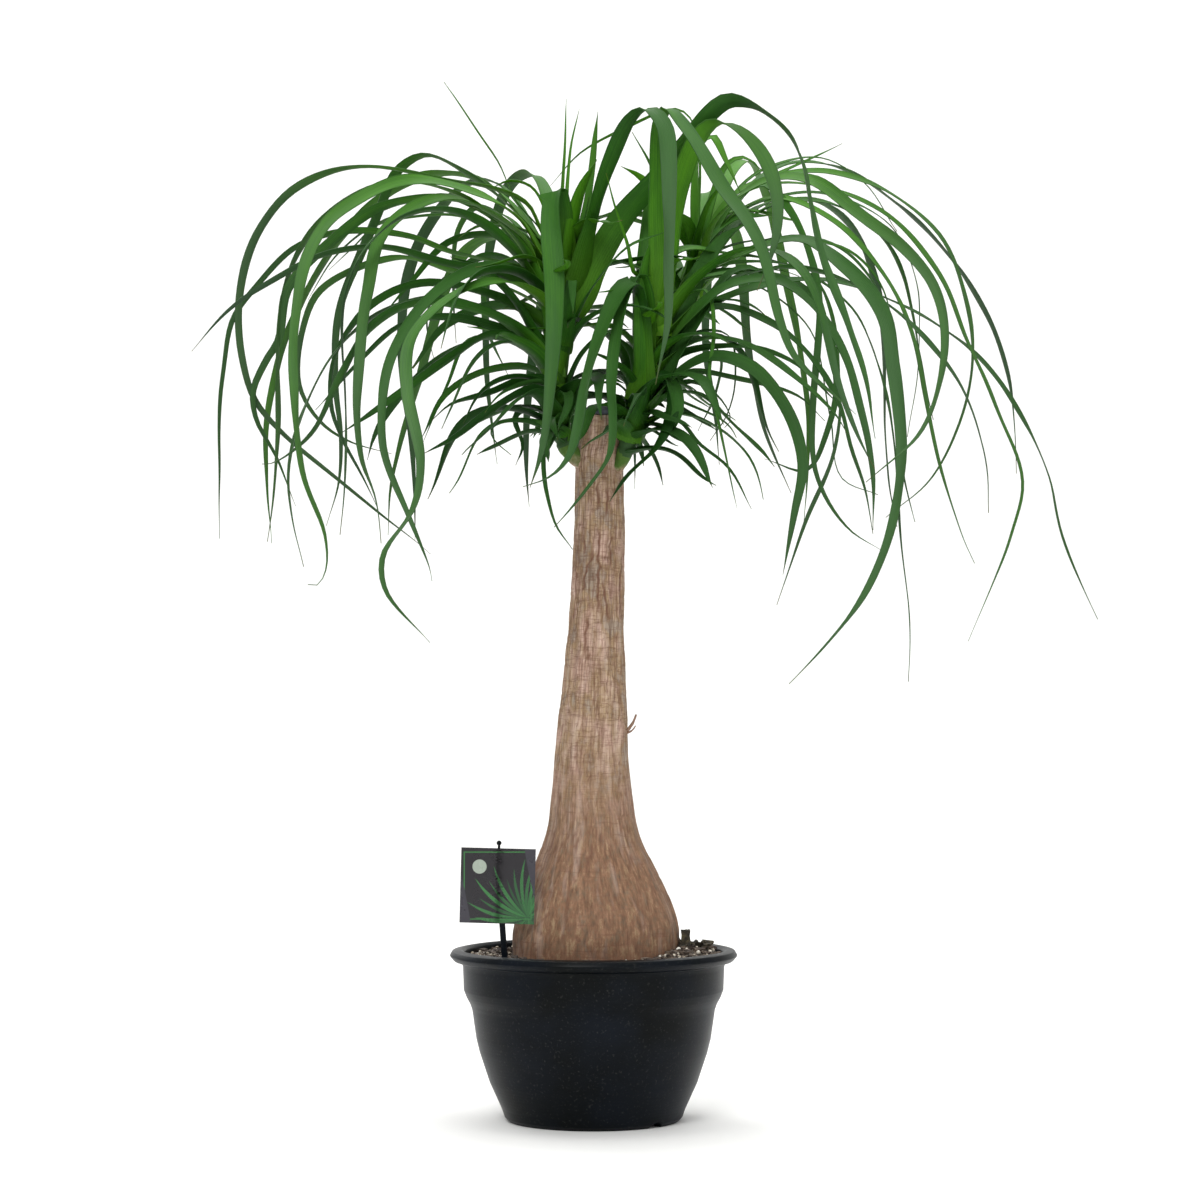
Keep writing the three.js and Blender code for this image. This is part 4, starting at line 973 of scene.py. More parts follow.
@dataclass
class Mix:
    """Potting mix that fills the pot round the trunk, with loose chips and perlite."""

    steps: int = 200
    chips: int = 420
    perlite: int = 230
    litter: int = 46
    chunk_at: tuple[float, float, float] = (86, -9, 163)
    chunk_size: tuple[float, float, float] = (9, 10, 30)
    finish: Finish = BarkFines("damp_bark_fines")
    chip_finish: Finish = BarkChips("composted_pine_bark")
    chunk_finish: Finish = BarkChips(
        "mossy_old_bark", dark="#15120b", middle="#332c1f", pale="#5f563c")
    perlite_finish: Finish = Perlite("expanded_perlite")

    def height(self, radius: float, angle: float) -> float:
        """Height of the mix under its chips at a place round the trunk."""
        off = ((math.degrees(angle) - MOUND_BEARING + 540) % 360 - 180) / MOUND_SPREAD
        return SOIL_TOP + MOUND_HEIGHT * math.exp(-off * off) * min(1, (119 - radius) / 12)

    def bed(self) -> bpy.types.Object:
        """Build the body of the mix with its rough top."""
        bm = bmesh.new()
        profile = [(0, FLOOR_TOP), (78, FLOOR_TOP), (81.5, 11), (94, 36), (103.4, 64),
                   (106.6, 77), (110.4, 103.5), (112.2, 110), (118.6, 123), (119.3, 148)]
        profile += [(118.8 - 1.6 * i, SOIL_TOP) for i in range(25)]
        profile += [(78.9, SOIL_TOP), (78.9, TRUNK_FOOT), (0, TRUNK_FOOT)]
        for vert in turned(bm, profile, self.steps):
            radius = vert.co.xy.length
            if vert.co.z > 152:
                rough = noise.fractal(vert.co / 7, 0.6, 2.2, 3) * 1.7
                vert.co.z = self.height(radius, math.atan2(vert.co.y, vert.co.x)) + rough
            if radius < 79.5 and vert.co.z > FLOOR_TOP + 1:
                vert.co.x += TRUNK_BURIED_X
        return finished(bm, "potting_mix", self.finish, 60)

    def scattered(self, count: int, seed: int) -> list[tuple[Matrix, float]]:
        """Seeded places on top of the mix, each with a draw of its own."""
        draw = draws(seed)
        made = []
        for _ in range(count):
            angle, radius = 2 * math.pi * next(draw), lerp(80, 117, next(draw) ** 0.8)
            tilt = Matrix.Rotation(lerp(-0.5, 0.5, next(draw)), 4, "X")
            turn = Matrix.Rotation(math.pi * next(draw), 4, "Z")
            x, y = radius * math.cos(angle), radius * math.sin(angle)
            if radius < 84:
                x += TRUNK_BURIED_X
            at = Matrix.Translation((x, y, self.height(radius, angle) + 1.2))
            made.append((at @ turn @ tilt, next(draw)))
        return made

    def chip_piece(self) -> bpy.types.Object:
        """Build the loose chips."""
        bm = bmesh.new()
        for at, own in self.scattered(self.chips, 71):
            size = Matrix.Diagonal((lerp(2.5, 10, own), lerp(2, 5, own), lerp(1, 2.6, own), 1))
            for vert in bmesh.ops.create_cube(bm, size=1.0, matrix=at @ size)["verts"]:
                vert.co += noise.noise_vector(vert.co * 0.37) * (0.4 + own)
        return finished(bm, "bark_chips", self.chip_finish, 20)

    def chunk_piece(self) -> bpy.types.Object:
        """Build the big dark chunk right of the trunk and the mossy litter beside it."""
        bm = bmesh.new()
        draw = draws(47)
        for _ in range(self.litter):
            turn = Euler((2 * next(draw) - 1, 2 * next(draw) - 1, 3 * next(draw))).to_matrix()
            at = Matrix.Translation((lerp(80, 108, next(draw)), lerp(-24, 12, next(draw)),
                                     lerp(161, 166, next(draw))))
            size = Matrix.Diagonal((lerp(5, 13, next(draw)), lerp(1.5, 4, next(draw)),
                                    lerp(1, 2.4, next(draw)), 1))
            for vert in bmesh.ops.create_cube(bm, size=1.0,
                                              matrix=at @ turn.to_4x4() @ size)["verts"]:
                vert.co += noise.noise_vector(vert.co * 0.4) * 1.2
        at = Matrix.Translation(self.chunk_at) @ Matrix.Diagonal((*self.chunk_size, 1))
        chunk = bmesh.ops.create_cube(bm, size=1.0, matrix=at)["verts"]
        edges = list({e for v in chunk for e in v.link_edges})
        bmesh.ops.subdivide_edges(bm, edges=edges, cuts=5, use_grid_fill=True)
        for vert in [v for v in bm.verts if len(v.link_edges) > 3 or v in chunk]:
            if (vert.co.xy - Vector(self.chunk_at[:2])).length < 9 and vert.co.z > 147:
                vert.co += noise.noise_vector(Vector((vert.co.x / 3, vert.co.y / 3,
                                                      vert.co.z / 11))) * 1.1
                narrow = 1 - 0.3 * clamp((vert.co.z - 160) / 18) ** 2
                vert.co.x = lerp(self.chunk_at[0], vert.co.x, narrow)
        return finished(bm, "bark_chunk", self.chunk_finish, 20)

    def perlite_piece(self) -> bpy.types.Object:
        """Build the white crumbs."""
        bm = bmesh.new()
        for at, own in self.scattered(self.perlite, 13):
            verts = bmesh.ops.create_icosphere(bm, subdivisions=2, radius=lerp(0.7, 2.0, own ** 2),
                                               matrix=at)["verts"]
            for vert in verts:
                vert.co += noise.noise_vector(vert.co * 0.9) * 0.4
        return finished(bm, "perlite_crumbs", self.perlite_finish, 50)

    def build(self) -> None:
        """Build the mix, its chips and its perlite."""
        place_piece(self.bed(), "potting_mix", "soil")
        for piece in (self.chip_piece(), self.chunk_piece(), self.perlite_piece()):
            place_piece(piece, "potting_mix")


@dataclass
class Trunk:
    """Swollen-footed stem with furrowed bark, its shoot stubs and a dead twig."""

    steps: int = 216
    row_mm: float = 1.9
    bark_from: float = 147.0             # height where the relief begins, under the mix
    round_mm: float = 30.0               # radius at which the bark pattern is laid out
    # each long fissure: its bearing at the top and bottom, and the two heights
    splits: tuple[tuple[float, float, float, float], ...] = (
        (-90, -87, 553, 476), (-102, -126, 532, 494), (-124, -122, 549, 531),
        (-147, -150, 527, 470), (-62, -60, 549, 516), (-78, -64, 505, 468),
        (-96, -92, 596, 574), (-70, -74, 590, 566), (-108, -112, 470, 436),
        (-30, -34, 520, 470), (10, 4, 560, 500), (52, 60, 500, 440), (96, 88, 550, 470),
        (140, 146, 520, 462), (176, 170, 570, 516), (120, 124, 600, 560))
    finish: Finish = TrunkBark("fibrous_corky_bark")

    def shape_at(self, z: float) -> tuple[float, float]:
        """Middle and radius of the stem at a height."""
        if z < TRUNK_BURIED_TOP:
            return TRUNK_BURIED_X, TRUNK_BURIED_RADIUS
        rows = [(TRUNK_FOOT, TRUNK_BURIED_X, TRUNK_BURIED_RADIUS),
                (TRUNK_BURIED_TOP, TRUNK_BURIED_X, TRUNK_BURIED_RADIUS), *TRUNK_FORM,
                (TRUNK_TOP, *TRUNK_TOP_MIDDLE)]
        i = 1
        while i + 2 < len(rows) and rows[i + 1][0] < z:
            i += 1
        t = clamp((z - rows[i][0]) / (rows[i + 1][0] - rows[i][0]))
        before, a, b, after = (rows[max(0, i - 1)], rows[i], rows[i + 1],
                               rows[min(len(rows) - 1, i + 2)])
        found = []
        for k in (1, 2):
            span = b[0] - a[0]
            out = (b[k] - before[k]) / max(1, b[0] - before[0]) * span
            back = (after[k] - a[k]) / max(1, after[0] - a[0]) * span
            found.append((2 * t ** 3 - 3 * t ** 2 + 1) * a[k] + (t ** 3 - 2 * t ** 2 + t) * out
                         + (3 * t ** 2 - 2 * t ** 3) * b[k] + (t ** 3 - t ** 2) * back)
        return found[0], found[1]

    def relief(self, turn: Vector, up: float, z: float) -> tuple[float, float]:
        """Furrows and checks of the bark.

        Args:
            turn: Place round the stem, on a circle of radius 1.
            up: Length along the surface in millimetres.
            z: Height in millimetres.

        Returns:
            How far the surface moves outwards, and how much of it is furrow, 0 to 1.
        """
        split = math.exp(-((z - 500) / 75) ** 2)
        wide = rough(turn.x * 5.2, turn.y * 5.2, up / 46)
        fine = rough(turn.x * 11 + 7, turn.y * 11, up / 24)
        hair = rough(turn.x * 27, turn.y * 27 + 3, up / 15)
        check = rough(turn.x * 2.6, turn.y * 2.6 + 9, up / 3.4)
        crack = clamp(1 - abs(fine) / 0.13) * clamp(0.5 + 2.2 * wide)
        crack = max(crack, 0.6 * split * clamp(1 - abs(wide) / 0.10))
        bearing = math.degrees(math.atan2(turn.y, turn.x))
        for start, end, top, bottom in self.splits:
            if bottom - 4 < z < top + 4:
                at = lerp(start, end, clamp((top - z) / (top - bottom)))
                at += 7 * rough(start, 0, z / 9)
                off = abs((bearing - at + 180) % 360 - 180)
                ends = clamp(min(top + 4 - z, z - bottom + 4) / 8)
                crack = max(crack, 1.25 * ends * clamp(1.3 - off / 3.2))
        level = clamp(check * 2.4 - 0.55) * (0.3 + 0.7 * split)
        out = 1.0 * wide + 0.45 * fine + 0.35 * hair - 0.9 * crack - 0.5 * level
        out += 0.9 * rough(turn.x * 1.4, turn.y * 1.4, z / 60)
        return out, clamp(0.72 * crack + 0.4 * level)

    def stem(self, bm: bmesh.types.BMesh) -> None:
        """Spin the stem and give it its lobes and bark relief."""
        grain, relief = attributes(bm, "grain", "relief")
        draw = draws(29)
        lobes = [(n, size, 6.28 * next(draw), (next(draw) - 0.5) * 0.012)
                 for n, size in ((3, 0.012), (5, 0.012), (8, 0.01), (13, 0.012))]
        heights, ups = [TRUNK_FOOT, 130.0, 146.0], [0.0, 20.0, 36.0]
        while heights[-1] < TRUNK_TOP - 0.5:
            z = heights[-1]
            slope = (self.shape_at(z + 2)[1] - self.shape_at(z)[1]) / 2
            step = self.row_mm / math.sqrt(1 + slope * slope)
            heights.append(min(TRUNK_TOP, z + step))
            ups.append(ups[-1] + self.row_mm)
        profile = [(0, TRUNK_FOOT)] + [(self.shape_at(z)[1], z) for z in heights]
        profile += [(14.0, TRUNK_TOP), (0, TRUNK_TOP)]
        for vert in turned(bm, profile, self.steps):
            z = vert.co.z
            radius = vert.co.xy.length
            turn = vert.co.xy.normalized() if radius > 1e-3 else Vector((1, 0))
            up = ups[min(bisect_left(heights, z - 1e-4), len(ups) - 1)]
            angle = math.atan2(turn.y, turn.x)
            scale, crack = 0.0, 0.0
            if z > self.bark_from:
                fade = clamp((z - self.bark_from) / 30)
                for n, size, phase, drift in lobes:
                    scale += size * math.sin(n * angle + phase + drift * z)
                out, crack = self.relief(turn, up, z)
                whole = radius / max(1.0, self.shape_at(z)[1])
                radius += fade * (radius * scale + whole * out * (0.5 if z > 652 else 1.0))
            mid = self.shape_at(z)[0]
            vert.co.x, vert.co.y = mid + radius * turn.x, radius * turn.y
            vert[grain] = (self.round_mm * turn.x, self.round_mm * turn.y, up)
            # darker towards the bottom: the furrow colour covers the bark up to half, from 166 mm
            # down to 152 mm
            soil = clamp((166 - z) / 14) * 0.5
            vert[relief] = (max(crack, soil), 0, 0, 1)

    def stubs(self, bm: bmesh.types.BMesh) -> None:
        """Swell a green foot out of the stem under each shoot."""
        grain, relief = attributes(bm, "grain", "relief")
        for number, shoot in enumerate(SHOOTS.values()):
            foot = shoot["radius"][0]
            line = smooth_line([*shoot["stub"], *shoot["line"][:2]], 16)[:13]
            radii = [foot * (0.66 + 0.3 * clamp(k / 11)) for k in range(len(line))]
            for vert in tube(bm, line, radii, 36):
                vert.co += noise.noise_vector(vert.co / 6) * 0.9
                vert[grain] = vert.co + Vector((90 * number, 0, 300))
                high = clamp((vert.co.z - line[0].z) / (line[-1].z - line[0].z))
                patchy = noise.noise(vert.co / 9)
                vert[relief] = (0.3 * clamp(0.5 - high), clamp(0.2 + high * 1.6 + patchy), 0, 1)

    def twig(self, bm: bmesh.types.BMesh) -> None:
        """Add the broken twig on the right with its small spur."""
        grain, relief = attributes(bm, "grain", "relief")
        parts = [([(24, -6, 357), (32, -6.6, 365), (37, -7.4, 372), (40, -8, 379.5)], 2.0, 0.9),
                 ([(31, -6.8, 362), (36, -7.4, 364.4), (39.5, -8.4, 369)], 1.1, 0.5)]
        for points, thick, thin in parts:
            line = smooth_line(points, 12)
            radii = [lerp(thick, thin, k / 12) for k in range(13)]
            for vert in tube(bm, line, radii, 10):
                vert.co += noise.noise_vector(vert.co / 1.7) * 0.22
                vert[grain] = vert.co
                vert[relief] = (0.55, 0, 0, 1)

    def build(self) -> None:
        """Build the trunk as one piece."""
        bm = bmesh.new()
        self.stem(bm)
        self.stubs(bm)
        self.twig(bm)
        place_piece(finished(bm, "trunk_bark", self.finish, 70), "bark", "trunk")


@dataclass
class WaxSeal:
    """Pruning wax brushed thickly over the sawn top of the trunk."""

    middle_x: float = 7.5
    radius: float = 17.5
    height: float = 12.0
    finish: Finish = SealingWax("pruning_wax")

    def build(self) -> None:
        """Spin the dome and let it ripple and run a little at its edge."""
        r, h = self.radius, self.height
        bm = bmesh.new()
        profile = [(0, 0), (r - 0.8, 0), (r, 1.5), (r - 0.3, 4.5), (r * 0.9, 7), (r * 0.72, 9.6),
                   (r * 0.5, h - 1), (r * 0.25, h - 0.3), (0, h)]
        for vert in turned(bm, profile, 72, 1.2, 4):
            lift = clamp(vert.co.z / 4)
            out = vert.co.normalized() * noise.fractal(vert.co / 8, 0.7, 2.0, 3) * 1.1 * lift
            vert.co += out + Vector((self.middle_x, 0, TRUNK_TOP))
        place_piece(finished(bm, "wax_dome", self.finish, 60), "sealing_wax", "wax_seal")


def sighted(x: float, z: float, y: float) -> Vector:
    """Point at depth y that is seen at (x, z) on the plane y = 0."""
    k = (SIGHT_FAR + y) / SIGHT_FAR
    return Vector((SIGHT_X + (x - SIGHT_X) * k, y, SIGHT_Z + (z - SIGHT_Z) * k))


def squared(direction: Vector, ahead: Vector) -> tuple[Vector, float]:
    """Part of a direction at right angles to another, and its length."""
    rest = direction - ahead * direction.dot(ahead)
    return rest.normalized(), rest.length


@dataclass
class Blade:
    """One strap leaf along its path."""

    path: list[Vector]
    width: float
    rolls: tuple[float, float]
    own: float
    shade: float
    across_parts: int = 6
    row_mm: float = 8.5
    thick: float = 0.75
    most_edgewise: float = 0.25          # how far a blade bends in its own plane
    cut: bool = False

    def taper(self, t: float) -> float:
        """Share of the full width: a broad clasping base and a long taper to the tip."""
        base = 1 + 0.7 * math.exp(-(t / 0.17) ** 2)
        tip = 1 if t < 0.35 else 1 - 0.85 * ((t - 0.35) / 0.65) ** 1.6
        return base * tip

    def ribbon(self) -> tuple[list[Vector], list[Vector], list[Vector], list[float], list[float]]:
        """Close points along the leaf with its frame.

        The way across starts level, follows the path without flipping, is turned by the
        leaf's rolls, and eases round where the blade would have to bend edgewise.

        Returns:
            Points, ways ahead, ways across, half widths, and length run at each point.
        """
        points = smooth_line(self.path, max(90, len(self.path) * 9))
        last = len(points) - 1
        runs = run_lengths(points)
        ahead = [(points[min(last, i + 1)] - points[max(0, i - 1)]).normalized()
                 for i in range(last + 1)]
        end = points[last] - points[0]
        across = Vector((-end.y, end.x, 0)).normalized()
        level = squared(across, ahead[0])[0]
        sides, halves = [], []
        for i in range(last + 1):
            t = runs[i] / runs[last]
            carried = squared(level, ahead[i])[0]
            flat, size = squared(across, ahead[i])
            if flat.dot(carried) < 0:
                flat = -flat
            level = carried.lerp(flat, 0.3 * clamp(2 * size - 0.5)).normalized()
            roll = math.radians(lerp(*self.rolls, t))
            sides.append(Quaternion(ahead[i], roll) @ level)
            halves.append(0.5 * max(1.6, self.width * self.taper(t)))
        bends = []
        for i in range(last + 1):
            a, b = max(0, i - 3), min(last, i + 3)
            bends.append((ahead[b] - ahead[a]) / (runs[b] - runs[a]))
        eased = []
        for side, bend, half in zip(sides, bends, halves):
            edgewise = half * abs(bend.dot(side))
            if edgewise >= self.most_edgewise:
                way = bend.normalized()
                excess = 1 - self.most_edgewise / edgewise
                side = (side - way * excess * way.dot(side)).normalized()
            eased.append(side)
        sides = []
        for i in range(last + 1):
            near = sum(eased[max(0, i - 5):i + 6], Vector())
            sides.append(squared(near, ahead[i])[0])
            halves[i] = min(halves[i], 0.6 / max(1e-6, abs(bends[i].dot(sides[i]))))
        return points, ahead, sides, halves, runs

    def draw(self, bm: bmesh.types.BMesh, shell: list[bmesh.types.BMFace]) -> None:
        """Bend a grid along the ribbon; its faces get their thickness later.

        Args:
            bm: The mesh to add to, with its "blade" and "growth" layers.
            shell: Takes the new faces.
        """
        points, ahead, sides, halves, runs = self.ribbon()
        length = runs[-1]
        rows = int(clamp(length / self.row_mm, 20, 84))
        parts = self.across_parts if self.width > 7 else 4
        blade, growth = attributes(bm, "blade", "growth")
        grid = bmesh.ops.create_grid(bm, x_segments=parts, y_segments=rows, size=1.0)["verts"]
        seed = 40 * self.own
        i = 0
        for vert in sorted(grid, key=lambda v: v.co.y):
            u, t = vert.co.x, (vert.co.y + 1) / 2
            run = t * length
            while i + 2 < len(runs) and runs[i + 1] < run:
                i += 1
            f = clamp((run - runs[i]) / (runs[i + 1] - runs[i]))
            point = points[i].lerp(points[i + 1], f)
            way = ahead[i].lerp(ahead[i + 1], f).normalized()
            side = squared(sides[i].lerp(sides[i + 1], f), way)[0]
            half = lerp(halves[i], halves[i + 1], f)
            sway = 46 * rough(run / 150, seed, 1) + 16 * rough(run / 55, seed, 3)
            sway *= clamp(run / 110)
            side = Quaternion(way, math.radians(sway)) @ side
            under = side.cross(way)
            if not self.cut:
                half *= 1 - 0.86 * clamp((t - 0.86) / 0.14) ** 1.6
            half *= 1 + 0.07 * rough(run / 60, seed, 5)
            gutter = 0.14 + 0.42 * math.exp(-run / 45) + 0.14 * t
            ripple = 0.55 * u ** 3 * math.sin(run / (11 + 6 * self.own) + 9 * self.own)
            drop = half * gutter * (1 - u * u) - ripple * clamp(half / 5) * clamp(t * 8)
            stray = Vector([rough(run / 70, seed, k) for k in (8, 11, 14)])
            stray *= 1.6 * clamp(t * 4)
            vert.co = point + stray + side * (half * u) + under * drop
            vert[blade] = (u, run, self.width)
            vert[growth] = (t, self.shade, self.own, Face.UPPER.value)
        shell.extend({f for v in grid for f in v.link_faces})


@dataclass
class Head:
    """One leafy shoot: the sheathed core and all its strap leaves."""

    shoot: Shoot
    young: int = 13
    skirt: int = 10
    finish: Finish = StrapLeaf("strap_leaf_cuticle")

    def on_line(self, z: float) -> Vector:
        """Point on the shoot's middle line at a height."""
        line = SHOOTS[self.shoot.value]["line"]
        i = 0
        while i + 2 < len(line) and line[i + 1][2] < z:
            i += 1
        t = clamp((z - line[i][2]) / (line[i + 1][2] - line[i][2]))
        return Vector(line[i]).lerp(Vector(line[i + 1]), t)

    def sighted_path(self, depths: tuple[float, ...], flat: tuple[float, ...]) -> list[Vector]:
        """The points a sighted leaf passes, root first."""
        line = SHOOTS[self.shoot.value]["line"]
        root = self.on_line(min(line[-1][2] - 8, max(line[0][2] + 8, flat[1] - 26)))
        back = SIGHT_FAR / (SIGHT_FAR + root.y)
        seen = [Vector((SIGHT_X + (root.x - SIGHT_X) * back, SIGHT_Z + (root.z - SIGHT_Z) * back))]
        seen += [Vector(pair) for pair in zip(flat[::2], flat[1::2])]
        runs = run_lengths(seen)
        levels = [root.y, *depths]
        path = []
        for spot, run in zip(seen, runs):
            place = min(len(levels) - 1.0001, run / runs[-1] * (len(levels) - 1))
            i = int(place)
            path.append(sighted(spot.x, spot.y, lerp(levels[i], levels[i + 1], place - i)))
        return path

    def arched_path(self, bearing: float, bend: float, root_z: float, length: float,
                    rise: float, droop: float = 1.0) -> list[Vector]:
        """The points a free arching leaf passes: it rises, bows over and hangs."""
        steps = 12
        path = [self.on_line(root_z)]
        hang = droop * (88 + 12 * math.sin(1.7 * bearing)) * min(1, 0.3 + length / 500)
        for i in range(steps):
            t = (i + 0.5) / steps
            swing = 17 * t * math.sin(7.5 * t + 1.3 * bearing)
            lift = math.radians(swing - hang + (rise + hang) * math.exp(-(t / 0.46) ** 2))
            sway = 26 * t * math.sin(6.5 * t + 2.3 * bearing)
            turn = math.radians(bearing + bend * 2 * t + sway)
            path.append(path[-1] + Vector((
                math.cos(lift) * math.cos(turn), math.cos(lift) * math.sin(turn),
                math.sin(lift))) * (length / steps))
        return path

    def blades(self) -> list[Blade]:
        """List every leaf of this shoot, large ones first."""
        name = self.shoot.value
        draw = draws(17 + len(name))
        found = []
        for width, depths, rolls, flat in LEAVES[name]:
            path = self.sighted_path(depths, flat)
            found.append(Blade(path, width, rolls, next(draw), self.shade(path, next(draw)),
                               cut=flat[-2:] == CUT_TIP))
        for *arch, width in ARCHES[name]:
            path = self.arched_path(*arch)
            found.append(Blade(path, width, (0, 25), next(draw), self.shade(path, next(draw))))
        foot, top = SHOOTS[name]["line"][0][2], SHOOTS[name]["line"][-1][2]
        for k in range(self.young):
            rise = lerp(86, 66, k / self.young)
            path = self.arched_path(GOLDEN_ANGLE * k + 20, 6,
                                    lerp(top - 8, foot + 40, k / self.young),
                                    lerp(90, 180, next(draw)), rise, 0.3)
            found.append(Blade(path, lerp(10, 17, next(draw)), (0, 15), next(draw),
                               self.shade(path, next(draw))))
        away = 180 if self.shoot is Shoot.LEFT else 0
        for k in range(self.skirt):
            bearing = away + 105 * math.sin(2.4 * k)
            path = self.arched_path(bearing, 24 * next(draw) - 12, foot + 4 + 60 * k / self.skirt,
                                    lerp(60, 130, next(draw)), lerp(5, 35, next(draw)))
            found.append(Blade(path, lerp(10, 15, next(draw)), (0, 40), next(draw),
                               self.shade(path, next(draw))))
        return found

    def shade(self, path: list[Vector], own: float) -> float:
        """How bright a leaf is: the higher its root and the more upright its start, the brighter;
        the low, spreading ones are darker, partly for their age and partly as painted shade.
        """
        line = SHOOTS[self.shoot.value]["line"]
        young = clamp((path[0].z - line[0][2]) / (line[-1][2] - line[0][2]))
        upright = max(0.0, (path[min(3, len(path) - 1)] - path[0]).normalized().z)
        return clamp(0.12 + 0.46 * young + 0.34 * upright ** 4 + 0.44 * (own - 0.5))

    def core(self, bm: bmesh.types.BMesh) -> None:
        """Wrap the clasping leaf bases round the shoot's middle line."""
        blade, growth = attributes(bm, "blade", "growth")
        shoot = SHOOTS[self.shoot.value]
        line = smooth_line(shoot["line"], 60)
        radii = []
        for k in range(61):
            scale = 1 + 0.1 * abs(math.sin(k * math.pi / 5))
            radii.append(lerp(*shoot["radius"], k / 60) * scale * (0.3 if k == 60 else 0.94))
        for vert in tube(bm, line, radii, 28):
            vert[blade] = (0, vert.co.z, 20)
            # the core darkens towards its foot like the low leaves: partly age, partly painted
            # shade
            vert[growth] = (0.05, 0.1 + 0.5 * clamp((vert.co.z - 640) / 160), 0.3,
                            Face.UPPER.value)

    def build(self) -> None:
        """Build the head: draw all blades, thicken them, add the core."""
        bm = bmesh.new()
        growth = attributes(bm, "blade", "growth")[1]
        shell: list[bmesh.types.BMFace] = []
        leaves = self.blades()
        for leaf in leaves:
            leaf.draw(bm, shell)
        upper = set(bm.verts)
        bmesh.ops.solidify(bm, geom=shell, thickness=leaves[0].thick)
        for vert in bm.verts:
            if vert not in upper:
                t, shade, own, _ = vert[growth]
                vert[growth] = (t, shade, own, Face.UNDER.value)
        self.core(bm)
        place_piece(finished(bm, f"leaves_{self.shoot.value}", self.finish, 55),
                    "foliage", f"head_{self.shoot.value}")


@dataclass
class Label:
    """Plant card on a moulded stake pushed into the mix."""

    side: float = 68.7
    thick: float = 0.8
    bow: float = 0.3
    twist: float = 0.15
    roll: float = 1.5
    foot: tuple[float, float] = (-78.6, 100.0)
    head: tuple[float, float] = (-87.1, 257.0)
    wide: float = 5.5
    tip: float = 2.2
    stake_thick: float = 3.0
    knob: float = 2.3
    card_finish: Finish = PrintedCard("printed_gloss_card")
    stake_finish: Finish = Polypropylene(
        "moulded_black_polypropylene")

    def card(self) -> bpy.types.Object:
        """Build the card, slightly bowed and twisted."""
        bm = bmesh.new()
        grid = bmesh.ops.create_grid(bm, x_segments=24, y_segments=24, size=self.side / 2)
        for vert in grid["verts"]:
            u, v = 2 * vert.co.x / self.side, 2 * vert.co.y / self.side
            bowed = -0.1 + self.bow * (u * u - 0.5) + self.twist * u * v
            vert.co = Vector((vert.co.x, bowed, vert.co.y))
        bmesh.ops.solidify(bm, geom=list(bm.faces), thickness=self.thick * 0.7)
        turn = Matrix.Rotation(math.radians(self.roll), 4, "Y")
        at = Matrix.Translation((LABEL_X, LABEL_Y, LABEL_Z))
        bmesh.ops.transform(bm, matrix=at @ turn, verts=bm.verts)
        return finished(bm, "plant_card", self.card_finish, 40)

    def stake(self) -> bpy.types.Object:
        """Extrude the stake's outline, soften its edges and set the knob on top."""
        fx, fz = self.foot
        hx, hz = self.head
        half, tip = self.wide / 2, self.tip / 2
        outline = [(fx - tip, fz), (fx + tip, fz), (fx + half - 0.5, fz + 16),
                   (hx + half + 0.5, hz - 34), (hx + 1.3, hz - 8), (hx + 1.1, hz + 3),
                   (hx - 1.1, hz + 3), (hx - 1.3, hz - 8), (hx - half + 0.5, hz - 34),
                   (fx - half - 0.5, fz + 16)]
        front = LABEL_Y + self.thick / 2
        bm = bmesh.new()
        face = bm.faces.new([bm.verts.new((x, front + self.stake_thick, z)) for x, z in outline])
        made = bmesh.ops.extrude_face_region(bm, geom=[face], use_keep_orig=True)["geom"]
        bmesh.ops.translate(bm, vec=(0, -self.stake_thick + 0.1, 0),
                            verts=[v for v in made if isinstance(v, bmesh.types.BMVert)])
        bmesh.ops.recalc_face_normals(bm, faces=bm.faces)
        bmesh.ops.bevel(bm, geom=list(bm.edges), offset=0.45, offset_type="OFFSET", segments=3,
                        profile=0.5, affect="EDGES", material=-1, clamp_overlap=True)
        bmesh.ops.create_uvsphere(
            bm, u_segments=24, v_segments=14, radius=self.knob,
            matrix=Matrix.Translation((hx, front + self.stake_thick / 2 + 1, hz + 4.5)))
        return finished(bm, "label_stake_moulding", self.stake_finish, 50)

    def build(self) -> None:
        """Build the card and its stake."""
        place_piece(self.card(), "card", "label_card")
        place_piece(self.stake(), "stake_plastic", "label_stake")


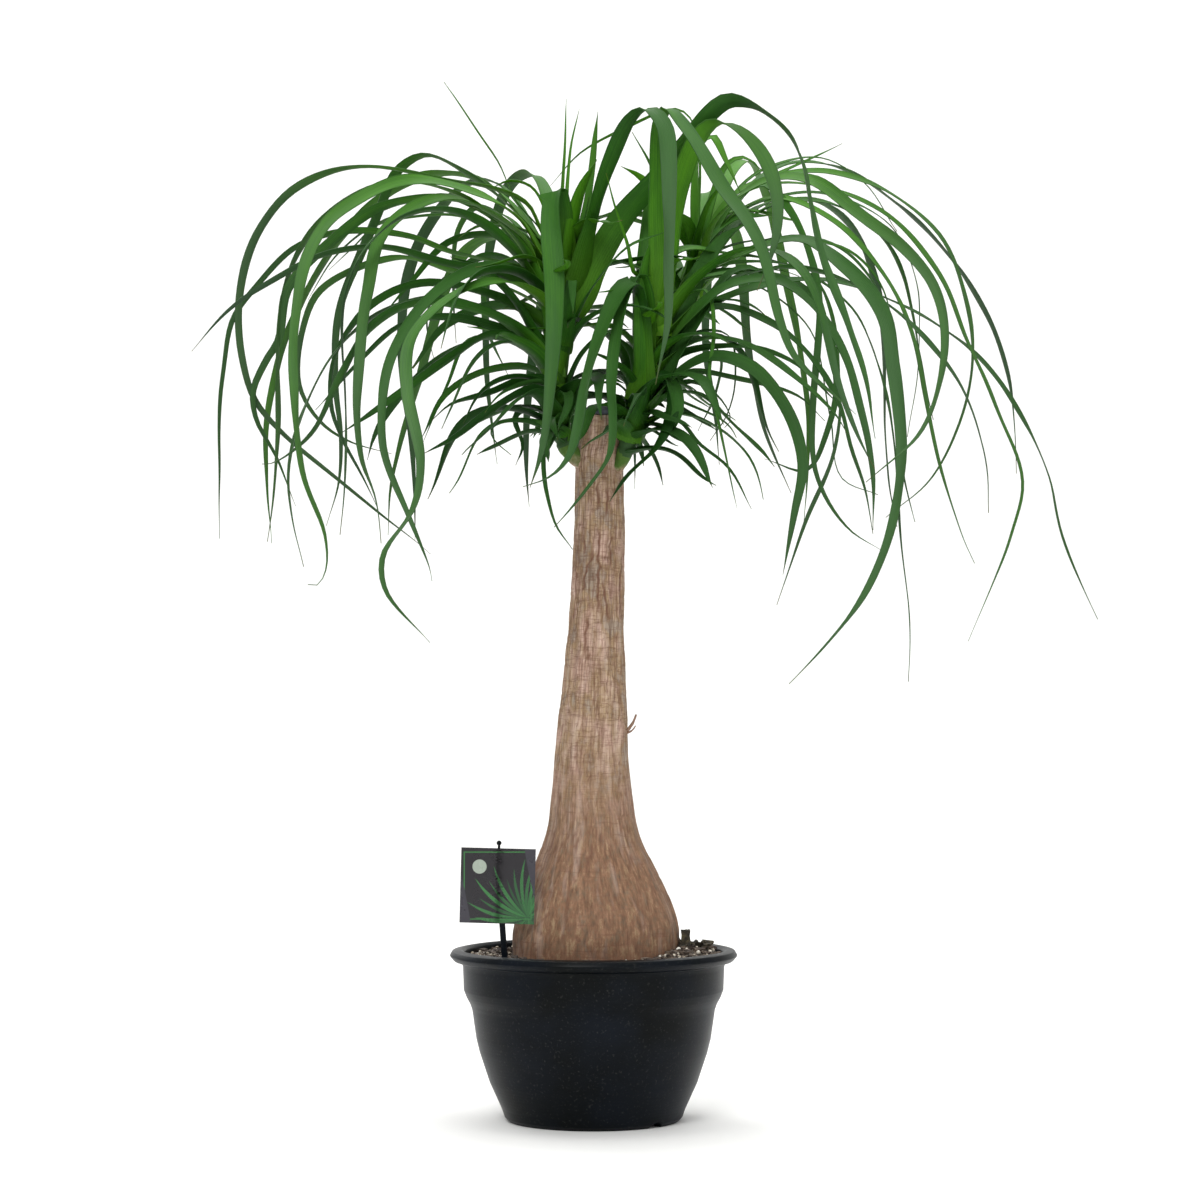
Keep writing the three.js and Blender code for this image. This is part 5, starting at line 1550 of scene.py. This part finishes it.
@dataclass
class Studio:
    """Seamless pale paper, soft lights and the camera at the photograph's place."""

    length: float = 14000.0
    ahead: float = 5500.0                # how much of it lies in front of the plant
    flat: float = 3200.0                 # where the sweep begins
    bend: float = 1200.0                 # its radius
    arc: float = 1885.0                  # and its length
    half_width: float = 7000.0
    paper: Finish = StudioPaper("seamless_white_paper")

    def floor(self) -> None:
        """Lay the paper on the floor and sweep it up behind."""
        bm = bmesh.new()
        grid = bmesh.ops.create_grid(bm, x_segments=2, y_segments=60, size=1.0)["verts"]
        for vert in grid:
            run = (vert.co.y + 1) / 2 * self.length - self.ahead
            turn = clamp((run - self.flat) / self.arc) * math.pi / 2
            rest = max(0.0, run - self.flat - self.arc)
            vert.co = Vector((vert.co.x * self.half_width,
                              min(run, self.flat) + self.bend * math.sin(turn),
                              self.bend * (1 - math.cos(turn)) + rest))
        floor = finished(bm, "studio_floor", self.paper, 80, recalculate=False)

    def light(self, name: str, place: tuple[float, float, float], aim: tuple[float, float, float],
              size: float, watts: float) -> None:
        """Hang one soft square light."""
        lamp = bpy.data.lights.new(name, "AREA")
        lamp.size, lamp.energy = size, watts
        made = linked(name, lamp)
        made.location = place
        made.rotation_euler = (Vector(aim) - Vector(place)).to_track_quat("-Z", "Y").to_euler()

    def build(self) -> None:
        """Set the paper, the lights, the room's glow and the camera."""
        self.floor()
        self.light("key", (-0.7, -3.0, 2.6), (0, 0, 0.5), 1.5, 66)
        self.light("fill", (2.2, -2.4, 1.4), (0, 0, 0.5), 1.8, 20)
        self.light("top", (0.1, 0.3, 3.0), (0, 0, 0.5), 2.2, 62)
        self.light("back", (-1.6, 2.2, 1.8), (0, 0, 0.6), 1.4, 18)
        self.light("backdrop", (0, 2.0, 3.4), (0, 4.4, 1.0), 3.0, 60)
        world = bpy.data.worlds.new("room")
        bpy.context.scene.world = world
        world.use_nodes = True
        glow = world.node_tree.nodes["Background"]
        glow.inputs["Color"].default_value = (1, 1, 1, 1)
        glow.inputs["Strength"].default_value = 0.5
        eye = Vector((SIGHT_X, -SIGHT_FAR, SIGHT_Z)) * MM
        aim = Vector((SIGHT_X, 0, VIEW_Z)) * MM
        lens = bpy.data.cameras.new("camera")
        lens.sensor_width = 36
        lens.lens = 36 * (aim - eye).length / (VIEW_WIDTH * MM)
        lens.clip_end = 60
        camera = linked("camera", lens)
        camera.location = eye
        camera.rotation_euler = (aim - eye).to_track_quat("-Z", "Y").to_euler()
        bpy.context.scene.camera = camera
        bpy.context.scene.view_settings.view_transform = "Standard"


def main() -> None:
    """Build every sub-assembly in order."""
    logging.basicConfig(level=logging.INFO, format="%(name)s %(message)s")
    noise.seed_set(NOISE_SEED)
    Studio().build()
    Pot().build()
    Mix().build()
    Trunk().build()
    WaxSeal().build()
    for shoot in Shoot:
        Head(shoot).build()
    Label().build()


if __name__ == "__main__":
    main()
